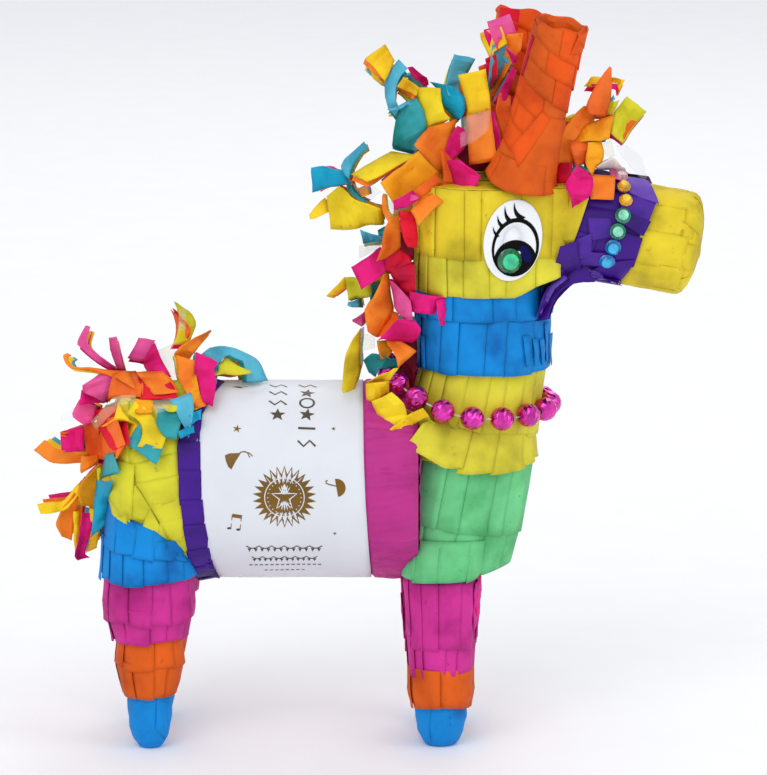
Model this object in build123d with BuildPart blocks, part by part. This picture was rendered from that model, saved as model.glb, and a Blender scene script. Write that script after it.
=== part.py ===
from build123d import *
import os
from math import acos, asin, atan2, cos, degrees, hypot, pi, radians, sin, tan

# Tabletop pinata shaped as a standing donkey: chipboard tubes wrapped in fringed tissue,
# with a hollow barrel for treats, a hinged fill flap, and a loose bead necklace.
# Frame: +X is the way it faces, +Y its left side, +Z up. Origin on the table, under the middle.
# Millimetres.

os.makedirs("parts", exist_ok=True)

# ---- driving dimensions -------------------------------------------------------------------
board = 1.2                 # chipboard wall
glue = 0.05                 # gap between glued layers
run_gap = 0.3               # gap round a moving piece

barrel_r = 38.4             # barrel tube, outside
barrel_z = 105.0            # height of its axis
barrel_rear = -90.5
barrel_front = 15.5
front_cap_depth = 4.6
front_cap_round = 4.2
rump_bulge = 8.0

band_out = 39.15            # outer radii of the wraps round the barrel
purple_out = 39.4
tissue_out = 39.6
barrel_clear = 39.7         # everything outside the barrel keeps to this radius
rump_wrap_front = -74.25
purple_front = -66.05
belly_front = -0.5

flap_start = 23.0           # angles round the barrel, from +Y up to +Z
flap_end = 77.0
flap_rear = -39.5
flap_front = -10.5
flap_out = 39.45            # outside of the paper on the flap
seal_r = 8.0
seal_out = 39.75
hole_reach = 4.0            # cutters reach this far either side of the board

neck_x = 47.0               # upright neck and head
neck_r = 22.8
neck_bottom = 150.0
neck_top = 225.0
chest_lean = 10.5           # degrees that the chest leans back below the neck
chest_length = 72.0
chest_bulge = 16.0

head_r = 28.0               # outside of the head's tissue
head_front = 80.0
head_front_half = 21.5
head_mid = 198.5
head_bottom = 183.0
neck_mid = 173.4
neck_fringe_bottom = 151.7
neck_fringe_r = 27.7

muzzle_drop = 11.0          # degrees that the muzzle points down
muzzle_end = Vector(125.4, 0, 201.1)
muzzle_length = 70.0
muzzle_r = 19.2
muzzle_bulge = 5.0
muzzle_clear = 0.1          # outer pieces keep this far off the noseband
nose_fold = 1.2             # tissue folded over the nose
noseband_r = 21.8
noseband_rear = 23.0        # distances along the muzzle, from its root
noseband_front = 52.0
snout_r = 20.4
chin_start = Vector(80.5, -15.5, 185.5)
chin_end = Vector(74.5, -17.5, 171.5)
chin_end_r = 3.3
chin_waist_r = 2.0
gem_place = 40.5
gem_r = 3.1
gem_height = 2.2
gem_taper = 20.0            # degrees
gem_step = 16.4             # degrees between the gems over the nose
gem_pairs = 7
gem_lead = (0.0, 0.6, 1.9, 3.3, 3.2, 2.3, 1.8, 0.7)     # how far each gem sits ahead of the first

eye_x = 58.0
eye_z = 206.7
eye_wide = 23.7
eye_high = 30.6
eye_tilt = 10.0
eye_thick = 0.5
eye_gem_x = 57.0
eye_gem_z = 199.4
eye_gem_r = 5.0
eye_gem_height = 3.2

ear_y = 15.5                # root, and tip, away from the middle plane
ear_out_y = 24.0
ear_tube_r = 9.4
ear_wall = 0.8
ear_wrap_r = 10.4
ear_skirt_r = 14.3
ear_skirt_height = 14.0
ear_rim = 2.0               # tissue standing above the ear's tube
ear_trim = 6.0              # length to trim off level with the head
head_top = 226.2
# Per ear: x of the root, x of the tip, side, height of the tip.
ears = {"right": (60.6, 76.0, -1, 289.5), "left": (57.5, 62.8, 1, 290.0)}

rear_leg = (-87.0, 22.0)    # where each leg stands, x and y
front_leg = (30.0, 18.0)
rear_core = (2.8, 15.5, 80.0)   # radius at the foot, radius at the top, top height
front_core = (4.5, 13.0, 70.0)
sole = 2.0                  # tissue under the end of each leg's core

thread_r = 0.4
bead_r = 4.8
bead_bore_r = 1.1
knot_r = 2.0

sides = {"right": -1, "left": 1}


# ---- shared shapes ------------------------------------------------------------------------
def save(piece, name):
    """Label one finished sub-part and write its STEP file."""
    piece.part.label = name
    export_step(piece.part, f"parts/{name}.step")


def along(base, direction):
    """Plane through an axis: its y runs along the axis and its x points away from it."""
    outward = Vector(0, 1, 0).cross(direction).normalized()
    return Plane(origin=base, x_dir=outward, z_dir=outward.cross(direction))


def turned(base, direction, outline):
    """Solid of revolution from (radius, distance) corners about an axis."""
    with BuildPart() as piece:
        with BuildSketch(along(base, direction)):
            with BuildLine():
                Polyline(*outline, close=True)
            make_face()
        revolve(axis=Axis(base, direction))
    return piece


def dome_middle(radius, rim, tip):
    """Point halfway along a spherical end's outline: its radius and its distance."""
    height = abs(tip - rim)
    ball = (radius**2 + height**2) / (2 * height)
    half = asin(radius / ball) / 2
    side = 1 if tip > rim else -1
    return ball * sin(half), tip - side * ball * (1 - cos(half))


def domed(base, direction, radius, rear, rim, tip):
    """Plug about an axis, straight from rear to rim and then a spherical end out to tip."""
    with BuildPart() as plug:
        with BuildSketch(along(base, direction)):
            with BuildLine():
                back = Line((0, rear), (radius, rear))
                side = Line(back @ 1, (radius, rim))
                crown = ThreePointArc(side @ 1, dome_middle(radius, rim, tip), (0, tip))
                Line(crown @ 1, back @ 0)
            make_face()
        revolve(axis=Axis(base, direction))
    return plug


def cut(piece, *others):
    """The piece with the other pieces' space taken out of it."""
    with BuildPart() as left:
        add(piece.part)
        for other in others:
            add(other.part, mode=Mode.SUBTRACT)
    return left


def barrel_ring(inner, outer, rear, front):
    """Tube about the barrel's axis."""
    with BuildPart() as ring:
        with BuildSketch(Plane.YZ.offset(rear)):
            with Locations((0, barrel_z)):
                Circle(outer)
                Circle(inner, mode=Mode.SUBTRACT)
        extrude(amount=front - rear)
    return ring


def barrel_patch(inner, outer, rear, front, start, end):
    """Curved plate about the barrel's axis, between two angles."""
    with BuildPart() as patch:
        with BuildSketch(Plane.YZ.offset(rear)):
            with BuildLine():
                low = CenterArc((0, barrel_z), inner, start, end - start)
                high = CenterArc((0, barrel_z), outer, start, end - start)
                Line(low @ 0, high @ 0)
                Line(low @ 1, high @ 1)
            make_face()
        extrude(amount=front - rear)
    return patch


def slab(outline, half_width):
    """Soft solid with a side outline of (x, z) corners, symmetric about the middle plane."""
    with BuildPart() as block:
        with BuildSketch(Plane.XZ):
            with BuildLine():
                Polyline(*outline, close=True)
            make_face()
            fillet(vertices(), 1.5)
        extrude(amount=half_width, both=True)
    return block


# ---- barrel -------------------------------------------------------------------------------
hole_span = (flap_rear, flap_front, flap_start, flap_end)
flap_hole = barrel_patch(barrel_r - hole_reach, barrel_r + hole_reach, *hole_span)

barrel_tube = cut(barrel_ring(barrel_r - board, barrel_r, barrel_rear, barrel_front), flap_hole)
save(barrel_tube, "barrel_tube")

belly_ring = barrel_ring(barrel_r + glue, band_out, purple_front + glue, belly_front - glue)
belly_band = cut(belly_ring, flap_hole)
save(belly_band, "belly_band")

purple_rear_band = barrel_ring(barrel_r + glue, purple_out, rump_wrap_front + glue, purple_front)
save(purple_rear_band, "purple_rear_band")

cap_front = barrel_front + front_cap_depth
with BuildPart() as barrel_front_cap:
    with BuildSketch(Plane.YZ.offset(barrel_front + glue)):
        with Locations((0, barrel_z)):
            Circle(barrel_r)
    extrude(amount=front_cap_depth - glue)
    fillet(edges().group_by(Axis.X)[-1], front_cap_round)
save(barrel_front_cap, "barrel_front_cap")

# The pink crepe follows the barrel and folds over the rounded front shoulder.
fold_x = cap_front - front_cap_round
fold_r = barrel_r - front_cap_round
crepe_in = front_cap_round + glue
crepe_out = front_cap_round + tissue_out - barrel_r
lip_r = fold_r - 2.0
barrel_axis = Axis((0, 0, barrel_z), (1, 0, 0))
with BuildPart() as pink_shoulder_band:
    with BuildSketch(Plane(origin=(0, 0, barrel_z), x_dir=(1, 0, 0), z_dir=(0, -1, 0))):
        with BuildLine():
            inner_run = Line((belly_front, barrel_r + glue), (fold_x, barrel_r + glue))
            inner_fold = CenterArc((fold_x, fold_r), crepe_in, 90, -90)
            inner_lip = Line(inner_fold @ 1, (fold_x + crepe_in, lip_r))
            lip = Line(inner_lip @ 1, (fold_x + crepe_out, lip_r))
            outer_lip = Line(lip @ 1, (fold_x + crepe_out, fold_r))
            outer_fold = CenterArc((fold_x, fold_r), crepe_out, 0, 90)
            outer_run = Line(outer_fold @ 1, (belly_front, tissue_out))
            Line(outer_run @ 1, inner_run @ 0)
        make_face()
    revolve(axis=barrel_axis)
save(pink_shoulder_band, "pink_shoulder_band")

# Rump: a bulging cap, and the tissue drawn over it and round the barrel's end.
wrap = tissue_out - barrel_r
rear = Vector(-1, 0, 0)
barrel_back = Vector(barrel_rear, 0, barrel_z)
rump_cap = domed(barrel_back, rear, barrel_r, glue, 2 * glue, rump_bulge)
save(rump_cap, "rump_cap")

wrap_run = barrel_rear - rump_wrap_front
rump_inside = domed(barrel_back, rear, barrel_r + glue, wrap_run - 1, 3 * glue, rump_bulge + glue)
rump_outside = domed(barrel_back, rear, tissue_out, wrap_run, wrap, rump_bulge + wrap)
rump_wrap = cut(rump_outside, rump_inside)
save(rump_wrap, "rump_wrap")

with BuildPart() as barrel_space:
    with BuildSketch(Plane.YZ.offset(barrel_rear - rump_bulge - wrap)):
        with Locations((0, barrel_z)):
            Circle(barrel_clear)
    extrude(amount=fold_x + crepe_out + 2 * glue - (barrel_rear - rump_bulge - wrap))

# ---- fill flap ----------------------------------------------------------------------------
gap_angle = degrees(run_gap / barrel_r)
flap_span = (flap_rear + run_gap, flap_front - run_gap, flap_start + gap_angle, flap_end - gap_angle)
fill_flap_board = barrel_patch(barrel_r - board, barrel_r, *flap_span)
save(fill_flap_board, "fill_flap_board")

fill_flap_paper = barrel_patch(barrel_r + glue, flap_out, *flap_span)
save(fill_flap_paper, "fill_flap_paper")

# Round sticker over the flap's free edge, its lower half lying on the belly band.
seal_x = (flap_rear + flap_front) / 2
seal_out_dir = Vector(0, cos(radians(flap_start)), sin(radians(flap_start)))
seal_base = Vector(seal_x, 0, barrel_z) + seal_out_dir * (barrel_r - hole_reach)
with BuildPart() as flap_seal_sticker:
    with BuildSketch(Plane(origin=seal_base, x_dir=(1, 0, 0), z_dir=seal_out_dir)):
        Circle(seal_r)
    extrude(amount=3 * hole_reach)
    add(barrel_ring(flap_out, seal_out, flap_rear, flap_front).part, mode=Mode.INTERSECT)
save(flap_seal_sticker, "flap_seal_sticker")

# ---- chest, neck and head cores -----------------------------------------------------------
up = Vector(0, 0, 1)
lean = radians(chest_lean)
chest_up = Vector(sin(lean), 0, cos(lean))
chest_top = Vector(neck_x, 0, neck_bottom)

with BuildPart() as chest_tube:
    with BuildSketch(Plane(origin=chest_top - chest_up * chest_length, z_dir=chest_up)):
        Circle(neck_r)
        Circle(neck_r - board, mode=Mode.SUBTRACT)
    extrude(amount=chest_length + neck_r)
    split(bisect_by=Plane.XY.offset(neck_bottom - glue), keep=Keep.BOTTOM)
    add(barrel_space.part, mode=Mode.SUBTRACT)
save(chest_tube, "chest_tube")

brim = -chest_length - glue
chest_bowl = domed(chest_top, chest_up, neck_r, brim, brim - glue, brim - chest_bulge)
chest_bottom_cap = cut(chest_bowl, barrel_space)
save(chest_bottom_cap, "chest_bottom_cap")

with BuildPart() as neck_tube:
    with BuildSketch(Plane.XY.offset(neck_bottom)):
        with Locations((neck_x, 0)):
            Circle(neck_r)
            Circle(neck_r - board, mode=Mode.SUBTRACT)
    extrude(amount=neck_top - neck_bottom)
save(neck_tube, "neck_tube")

with BuildPart() as head_top_cap:
    with BuildSketch(Plane.XY.offset(neck_top + glue)):
        with Locations((neck_x, 0)):
            Circle(neck_r)
    extrude(amount=board)
save(head_top_cap, "head_top_cap")

with BuildPart() as neck_space:
    with BuildSketch(Plane.XY.offset(neck_bottom)):
        with Locations((neck_x, 0)):
            Circle(neck_r + glue)
    extrude(amount=head_top - neck_bottom)

# ---- muzzle -------------------------------------------------------------------------------
drop = radians(muzzle_drop)
muzzle_out = Vector(cos(drop), 0, -sin(drop))
muzzle_root = muzzle_end - muzzle_out * muzzle_length


def muzzle_ring(inner, outer, rear, front):
    """Tube about the muzzle's axis."""
    return turned(muzzle_root, muzzle_out, [(inner, rear), (outer, rear), (outer, front), (inner, front)])


muzzle_tube = cut(muzzle_ring(muzzle_r - board, muzzle_r, 0, muzzle_length), neck_space)
save(muzzle_tube, "muzzle_tube")


rim = muzzle_length + 1
muzzle_tip = rim + muzzle_bulge
muzzle_end_cap = domed(muzzle_root, muzzle_out, muzzle_r, muzzle_length + glue, rim, muzzle_tip)
save(muzzle_end_cap, "muzzle_end_cap")

snout_inside = domed(muzzle_root, muzzle_out, muzzle_r + glue, noseband_front - 1, rim, muzzle_tip + glue)
snout_outside = domed(muzzle_root, muzzle_out, snout_r, noseband_front + glue, rim, muzzle_tip + nose_fold)
snout_wrap = cut(snout_outside, snout_inside)
save(snout_wrap, "snout_wrap")

muzzle_space = muzzle_ring(0, noseband_r + muzzle_clear, 0, muzzle_length)
muzzle_core_space = muzzle_ring(0, muzzle_r + glue, 0, noseband_front)


# ---- head tissue --------------------------------------------------------------------------
def head_slice(bottom, top, front, grow=0.0):
    """Head cross-section, a circle drawn out to the muzzle's width, between two heights."""
    with BuildPart() as part_slice:
        with BuildSketch(Plane.XY.offset(bottom)):
            with Locations((neck_x, 0)):
                Circle(head_r)
            with Locations((front - 1, 0)):
                Rectangle(2, 2 * head_front_half)
            make_hull()
            if grow:
                offset(amount=grow)
        extrude(amount=top - bottom)
    return part_slice


head_fringe_upper = cut(head_slice(head_mid + glue, head_top, head_front), neck_space, muzzle_core_space)
save(head_fringe_upper, "head_fringe_upper")

head_fringe_lower = cut(head_slice(head_bottom, head_mid, head_front - 4), neck_space, muzzle_core_space)
save(head_fringe_lower, "head_fringe_lower")

noseband = cut(
    muzzle_ring(muzzle_r + glue, noseband_r, noseband_rear - 6, noseband_front),
    head_slice(head_bottom - 1, head_top + 20, head_front + 0.1),
)
save(noseband, "noseband")

# Twisted paper end of the noseband, hanging under the jaw on the right side.
chin_axis = (chin_end - chin_start).normalized()
chin_long = (chin_end - chin_start).length
chin_waist = chin_long * 0.45
chin_outline = [(0, 0), (chin_end_r, 0), (chin_waist_r, chin_waist), (chin_end_r, chin_long), (0, chin_long)]
chin_twist = turned(chin_start, chin_axis, chin_outline)
save(chin_twist, "chin_twist")

# ---- gems and eyes ------------------------------------------------------------------------
muzzle_up = Vector(0, 1, 0).cross(muzzle_out) * -1
with BuildPart() as nose_gems:
    for index in range(-gem_pairs, gem_pairs + 1):
        turn = radians(gem_step * index)
        gem_dir = muzzle_up * cos(turn) + Vector(0, 1, 0) * sin(turn)
        gem_middle = muzzle_root + muzzle_out * (gem_place + gem_lead[abs(index)])
        gem_seat = gem_middle + gem_dir * (noseband_r + glue)
        with BuildSketch(Plane(origin=gem_seat, x_dir=muzzle_out, z_dir=gem_dir)):
            Circle(gem_r)
        extrude(amount=gem_height, taper=gem_taper)
save(nose_gems, "nose_gems")

# The cheeks are flat and taper from the head's circle towards the muzzle.
corner_x = head_front - neck_x
cheek_turn = atan2(head_front_half, corner_x) + acos(head_r / hypot(corner_x, head_front_half))


def cheek(side, x, z, lift):
    """Plane on a cheek, facing out, with its y up."""
    out = Vector(cos(cheek_turn), side * sin(cheek_turn), 0)
    forward = Vector(sin(cheek_turn), -side * cos(cheek_turn), 0)
    touch = Vector(neck_x, 0, z) + out * (head_r + lift)
    place = touch + forward * ((x - touch.X) / forward.X)
    return Plane(origin=place, x_dir=up.cross(out), z_dir=out)


for name, side in sides.items():
    with BuildPart() as eye_sticker:
        with BuildSketch(cheek(side, eye_x, eye_z, -4)):
            Ellipse(eye_wide / 2, eye_high / 2, rotation=side * eye_tilt)
        extrude(amount=8)
        add(head_slice(head_bottom, head_top, head_front, glue + eye_thick).part, mode=Mode.INTERSECT)
        add(head_slice(head_bottom, head_top, head_front, glue).part, mode=Mode.SUBTRACT)
    save(eye_sticker, f"eye_sticker_{name}")

with BuildPart() as eye_gems:
    for side in sides.values():
        with BuildSketch(cheek(side, eye_gem_x, eye_gem_z, eye_thick + 2 * glue)):
            Circle(eye_gem_r)
        extrude(amount=eye_gem_height, taper=gem_taper)
save(eye_gems, "eye_gems")

# ---- ears ---------------------------------------------------------------------------------
ear_wraps = []
for name, (root_x, tip_x, side, tip_z) in ears.items():
    ear_root = Vector(root_x, side * ear_y, head_top)
    ear_tip = Vector(tip_x, side * ear_out_y, tip_z)
    ear_up = (ear_tip - ear_root).normalized()
    ear_high = (ear_tip - ear_root).length
    ear_in = ear_tube_r - ear_wall
    hem = -ear_trim
    tube_top = ear_high - ear_rim
    tube_outline = [(ear_in, hem), (ear_tube_r, hem), (ear_tube_r, tube_top), (ear_in, tube_top)]
    wrap_outline = [
        (ear_tube_r + glue, hem),
        (ear_skirt_r, hem),
        (ear_skirt_r, 0),
        (ear_wrap_r, ear_skirt_height),
        (ear_wrap_r, ear_high),
        (ear_tube_r + glue, ear_high),
    ]
    for node, outline in (("ear_tube", tube_outline), ("ear_wrap", wrap_outline)):
        with BuildPart() as ear_piece:
            add(turned(ear_root, ear_up, outline).part)
            split(bisect_by=Plane.XY.offset(head_top + glue), keep=Keep.TOP)
            add(muzzle_space.part, mode=Mode.SUBTRACT)
        save(ear_piece, f"{node}_{name}")
    ear_wraps.append(ear_piece)

# ---- tissue rings round the column --------------------------------------------------------
neck_fringe_upper = turned(
    Vector(neck_x, 0, 0),
    up,
    [
        (neck_r + glue, neck_mid + glue),
        (neck_fringe_r, neck_mid + glue),
        (neck_fringe_r - 0.6, head_bottom - glue),
        (neck_r + glue, head_bottom - glue),
    ],
)
save(neck_fringe_upper, "neck_fringe_upper")

neck_fringe_lower = turned(
    Vector(neck_x, 0, 0),
    up,
    [
        (neck_r + glue, neck_fringe_bottom),
        (neck_fringe_r, neck_fringe_bottom),
        (neck_fringe_r - 1.2, neck_mid),
        (neck_r + glue, neck_mid),
    ],
)
save(neck_fringe_lower, "neck_fringe_lower")

# Rings round the leaning chest: distance below the neck at the bottom and top, then the radii.
chest_rings = {
    "collar_lower": (-38.0, -19.6, 30.0, 23.9),
    "chest_fringe_upper": (-62.0, -38.1, 27.2, 25.0),
    "chest_fringe_lower": (-80.0, -62.1, 26.6, 25.0),
}
chest_pieces = [chest_bottom_cap]
for name, (low, high, r_low, r_high) in chest_rings.items():
    inner = neck_r + glue
    ring = turned(chest_top, chest_up, [(inner, low), (r_low, low), (r_high, high), (inner, high)])
    chest_ring = cut(ring, barrel_space)
    save(chest_ring, name)
    chest_pieces.append(chest_ring)

collar_low = -19.5
collar_high = 4.0
collar_r = 23.6
with BuildPart() as collar_upper:
    collar_outline = [
        (neck_r + glue, collar_low),
        (collar_r, collar_low),
        (collar_r, collar_high),
        (neck_r + glue, collar_high),
    ]
    add(turned(chest_top, chest_up, collar_outline).part)
    split(bisect_by=Plane.XY.offset(neck_fringe_bottom - glue), keep=Keep.BOTTOM)
    add(barrel_space.part, mode=Mode.SUBTRACT)
    add(neck_space.part, mode=Mode.SUBTRACT)
save(collar_upper, "collar_upper")

# ---- legs ---------------------------------------------------------------------------------
# Rings on each leg: bottom height, top height, radius there below, radius there above.
rear_rings = {
    "rear_thigh_fringe": (65.3, 84.0, 20.0, 19.0),
    "rear_leg_pink_fringe": (43.2, 65.2, 13.5, 18.3),
    "rear_leg_orange_fringe": (21.2, 43.1, 9.5, 13.0),
}
front_rings = {
    "front_leg_pink_fringe": (29.8, 67.0, 12.4, 16.0),
    "front_leg_orange_fringe": (15.7, 29.7, 11.2, 12.8),
}
rear_foot = [(4.0, 0), (6.8, 10), (8.9, 21.1)]
front_foot = [(6.0, 0), (9.0, 5), (10.7, 15.6)]


def core_radius(core, z):
    """Radius of a leg's core at a height."""
    return core[0] + (core[1] - core[0]) * z / core[2]


def leg(prefix, place, core, rings, foot, blocks):
    """One pair of legs: cores, fringe rings and foot wraps."""
    for side_name, side in sides.items():
        stand = Vector(place[0], side * place[1], 0)
        top = core[2]
        core_outline = [(0, sole), (core_radius(core, sole), sole), (core_radius(core, top), top), (0, top)]
        save(cut(turned(stand, up, core_outline), *blocks), f"{prefix}_leg_core_{side_name}")
        for ring_name, (low, high, r_low, r_high) in rings.items():
            ring_outline = [
                (core_radius(core, low) + glue, low),
                (r_low, low),
                (r_high, high),
                (core_radius(core, high) + glue, high),
            ]
            save(cut(turned(stand, up, ring_outline), *blocks), f"{ring_name}_{side_name}")
        shin = foot[-1][1]
        foot_outline = [
            (0, 0),
            *foot,
            (core_radius(core, shin) + glue, shin),
            (core_radius(core, sole) + glue, sole - glue),
            (0, sole - glue),
        ]
        save(turned(stand, up, foot_outline), f"{prefix}_foot_wrap_{side_name}")


leg("rear", rear_leg, rear_core, rear_rings, rear_foot, [barrel_space])
leg("front", front_leg, front_core, front_rings, front_foot, [barrel_space, *chest_pieces, chest_tube])

# ---- loose tissue strips, each bunch as one soft solid ------------------------------------
head_space = head_slice(head_bottom - 1, head_top + glue, head_front, 0.1)
column_r = neck_fringe_r + 0.1
column_space = turned(
    Vector(neck_x, 0, 0),
    up,
    [(0, neck_bottom), (column_r, neck_bottom), (column_r, head_bottom), (0, head_bottom)],
)

mane_outline = [(28, 206), (1, 206), (-8, 192), (-9, 174), (0, 160.5), (28, 160.5)]
mane_strips = cut(slab(mane_outline, 13), head_space, column_space)
save(mane_strips, "mane_strips")

topknot_outline = [
    (42, 226.3),
    (42, 250),
    (34, 268),
    (10, 258),
    (-13, 276),
    (-20, 262),
    (-7, 236),
    (-18, 222),
    (-3, 206.1),
    (28, 206.1),
    (28, 226.3),
]
topknot_strips = cut(slab(topknot_outline, 12), head_space, *ear_wraps)
save(topknot_strips, "topknot_strips")

forelock_outline = [(82, 226), (77, 246), (84, 258), (94, 268), (99, 262), (111, 251), (104, 239), (99, 224)]
gem_clear = 0.5
gem_band = muzzle_ring(
    noseband_r,
    noseband_r + gem_height + gem_clear,
    gem_place - gem_r - gem_clear,
    gem_place + max(gem_lead) + gem_r + gem_clear,
)
forelock_strips = cut(slab(forelock_outline, 9), muzzle_space, head_space, gem_band)
save(forelock_strips, "forelock_strips")

tail_outline = [
    (-47, 140),
    (-51, 158),
    (-72, 172),
    (-98, 175),
    (-118, 166),
    (-131, 146),
    (-132.5, 110),
    (-122, 88),
    (-110, 90),
    (-101, 110),
    (-99, 140),
]
tail_strips = cut(slab(tail_outline, 22), barrel_space)
save(tail_strips, "tail_strips")

# ---- necklace -----------------------------------------------------------------------------
# The thread's route from the knot at the back, round the left side to the middle of the front.
thread_half = [
    (8.6, 1.6, 151.4),
    (10.2, 11.9, 149.2),
    (15.8, 21.2, 145.4),
    (25.1, 27.2, 140.5),
    (36.4, 29.8, 136.6),
    (48.3, 29.4, 135.2),
    (60.0, 25.2, 135.1),
    (69.2, 16.7, 135.4),
    (73.8, 5.8, 135.7),
]
thread_route = [Vector(*p) for p in thread_half]
thread_route += [Vector(x, -y, z) for x, y, z in reversed(thread_half)]

thread_runs = list(zip(thread_route, thread_route[1:]))
thread_radii = []
for (a, b), (_, c) in zip(thread_runs, thread_runs[1:]):
    half_turn = radians((b - a).get_angle(c - b)) / 2
    shorter = min((b - a).length, (c - b).length)
    thread_radii.append(0.45 * shorter / tan(half_turn))
print("thread radii", [round(r, 1) for r in thread_radii])

with BuildPart() as necklace_thread:
    with BuildLine() as thread_line:
        FilletPolyline(*thread_route, radius=thread_radii)
    with BuildSketch(thread_line.line ^ 0):
        Circle(thread_r)
    sweep(path=thread_line.line)
save(necklace_thread, "necklace_thread")
thread_section = pi * thread_r**2
print("thread length", thread_line.wire().length)
print("thread length from its volume", necklace_thread.part.volume / thread_section)

with BuildPart() as necklace_beads:
    for a, b in thread_runs:
        with Locations(Plane(origin=(a + b) / 2, z_dir=b - a)):
            Sphere(bead_r)
            Cylinder(bead_bore_r, 2 * bead_r + 1, mode=Mode.SUBTRACT)
save(necklace_beads, "necklace_beads")

with BuildPart() as necklace_knot:
    with Locations((thread_route[0] + thread_route[-1]) / 2):
        Sphere(knot_r)
    add(necklace_thread.part, mode=Mode.SUBTRACT)
save(necklace_knot, "necklace_knot")
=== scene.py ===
import bpy
import random
from math import cos, degrees, hypot, pi, radians, sin, sqrt, tan
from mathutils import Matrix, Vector, noise


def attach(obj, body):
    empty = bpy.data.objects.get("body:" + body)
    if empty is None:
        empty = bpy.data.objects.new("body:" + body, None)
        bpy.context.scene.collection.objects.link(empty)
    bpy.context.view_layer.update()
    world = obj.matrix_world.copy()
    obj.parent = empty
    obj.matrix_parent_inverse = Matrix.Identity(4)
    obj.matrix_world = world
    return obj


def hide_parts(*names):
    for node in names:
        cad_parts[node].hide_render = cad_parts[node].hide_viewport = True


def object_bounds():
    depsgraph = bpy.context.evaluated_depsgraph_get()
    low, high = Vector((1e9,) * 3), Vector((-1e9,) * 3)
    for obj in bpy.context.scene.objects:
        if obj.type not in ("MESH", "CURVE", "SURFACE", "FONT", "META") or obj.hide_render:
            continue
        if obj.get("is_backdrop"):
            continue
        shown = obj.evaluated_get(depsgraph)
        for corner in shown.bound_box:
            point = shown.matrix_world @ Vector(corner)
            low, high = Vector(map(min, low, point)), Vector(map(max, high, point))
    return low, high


# Tabletop pinata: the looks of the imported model. Lengths in the helpers are in millimetres.

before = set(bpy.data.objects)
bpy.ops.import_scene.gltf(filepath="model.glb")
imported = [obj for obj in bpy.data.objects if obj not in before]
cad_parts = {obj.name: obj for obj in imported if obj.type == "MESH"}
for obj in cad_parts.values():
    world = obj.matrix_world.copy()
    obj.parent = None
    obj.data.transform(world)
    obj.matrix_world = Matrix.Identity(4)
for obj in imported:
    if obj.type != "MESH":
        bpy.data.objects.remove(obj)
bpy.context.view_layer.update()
MM = 0.001

# ---- camera and necklace thread --------------------------------------------------------

target = Vector((0.0073, 0.0, 0.142))
rise = radians(12.0)
reach = 2.0
camera_data = bpy.data.cameras.new("camera")
camera_data.lens = 232.3
camera_data.sensor_width = 36.0
camera_data.clip_end = 20.0
camera = bpy.data.objects.new("camera", camera_data)
camera.location = target + reach * Vector((0.0, -cos(rise), sin(rise)))
camera.rotation_euler = (pi / 2 - rise, 0.0, 0.0)
bpy.context.scene.collection.objects.link(camera)
bpy.context.scene.camera = camera

half_route = [
    (8.6, 1.6, 151.4), (10.2, 11.9, 149.2), (15.8, 21.2, 145.4), (25.1, 27.2, 140.5),
    (36.4, 29.8, 136.6), (48.3, 29.4, 135.2), (60.0, 25.2, 135.1), (69.2, 16.7, 135.4),
    (73.8, 5.8, 135.7),
]
route = half_route + [(x, -y, z) for x, y, z in reversed(half_route)]
thread_r = 0.4


def spline(name, points, radius):
    """A smooth line through the middles of the runs between points."""
    curve = bpy.data.curves.new(name, "CURVE")
    curve.dimensions = "3D"
    line = curve.splines.new("NURBS")
    line.points.add(len(points) - 1)
    for p, co in zip(line.points, points):
        p.co = (co[0] * MM, co[1] * MM, co[2] * MM, 1.0)
    line.order_u = 3
    line.use_endpoint_u = True
    line.resolution_u = 8
    curve.bevel_depth = radius * MM
    curve.bevel_resolution = 3
    obj = bpy.data.objects.new(name, curve)
    bpy.context.scene.collection.objects.link(obj)
    return obj


# ---- materials -------------------------------------------------------------------------


def linear(code):
    """Linear colour of a six-digit code."""
    parts = [int(code[i:i + 2], 16) / 255 for i in (0, 2, 4)]
    return [c / 12.92 if c <= 0.04045 else ((c + 0.055) / 1.055) ** 2.4 for c in parts]


def shade(colour, gain):
    return (*[min(1.0, c * gain) for c in colour], 1.0)


def grey(value):
    return value, value, value, 1.0


def base_material(name):
    mat = bpy.data.materials.new(name)
    mat.use_nodes = True
    tree = mat.node_tree
    coords = tree.nodes.new("ShaderNodeTexCoord")
    return mat, tree, tree.nodes["Principled BSDF"], coords.outputs["Object"]


def noise_node(tree, coords, scale, detail=3.0, kind="FBM", distortion=0.0, stretch=None):
    node = tree.nodes.new("ShaderNodeTexNoise")
    node.noise_type = kind
    node.inputs["Scale"].default_value = scale
    node.inputs["Detail"].default_value = detail
    node.inputs["Distortion"].default_value = distortion
    if stretch:
        mapping = tree.nodes.new("ShaderNodeMapping")
        mapping.inputs["Scale"].default_value = stretch
        tree.links.new(coords, mapping.inputs["Vector"])
        coords = mapping.outputs["Vector"]
    tree.links.new(coords, node.inputs["Vector"])
    return node.outputs["Fac"]


def ramp_node(tree, value, *stops):
    """Colours at places along a value, as (place, colour) stops."""
    node = tree.nodes.new("ShaderNodeValToRGB")
    ramp = node.color_ramp
    while len(ramp.elements) < len(stops):
        ramp.elements.new(0.5)
    for element, (place, colour) in zip(ramp.elements, stops):
        element.position = place
        element.color = colour
    tree.links.new(value, node.inputs["Fac"])
    return node.outputs["Color"]


def bump_node(tree, bsdf, layers):
    """layers: (height socket, strength, distance in mm) from coarse to fine."""
    normal = None
    for height, strength, distance in layers:
        node = tree.nodes.new("ShaderNodeBump")
        node.inputs["Strength"].default_value = strength
        node.inputs["Distance"].default_value = distance * MM
        tree.links.new(height, node.inputs["Height"])
        if normal:
            tree.links.new(normal, node.inputs["Normal"])
        normal = node.outputs["Normal"]
    tree.links.new(normal, bsdf.inputs["Normal"])


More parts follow.
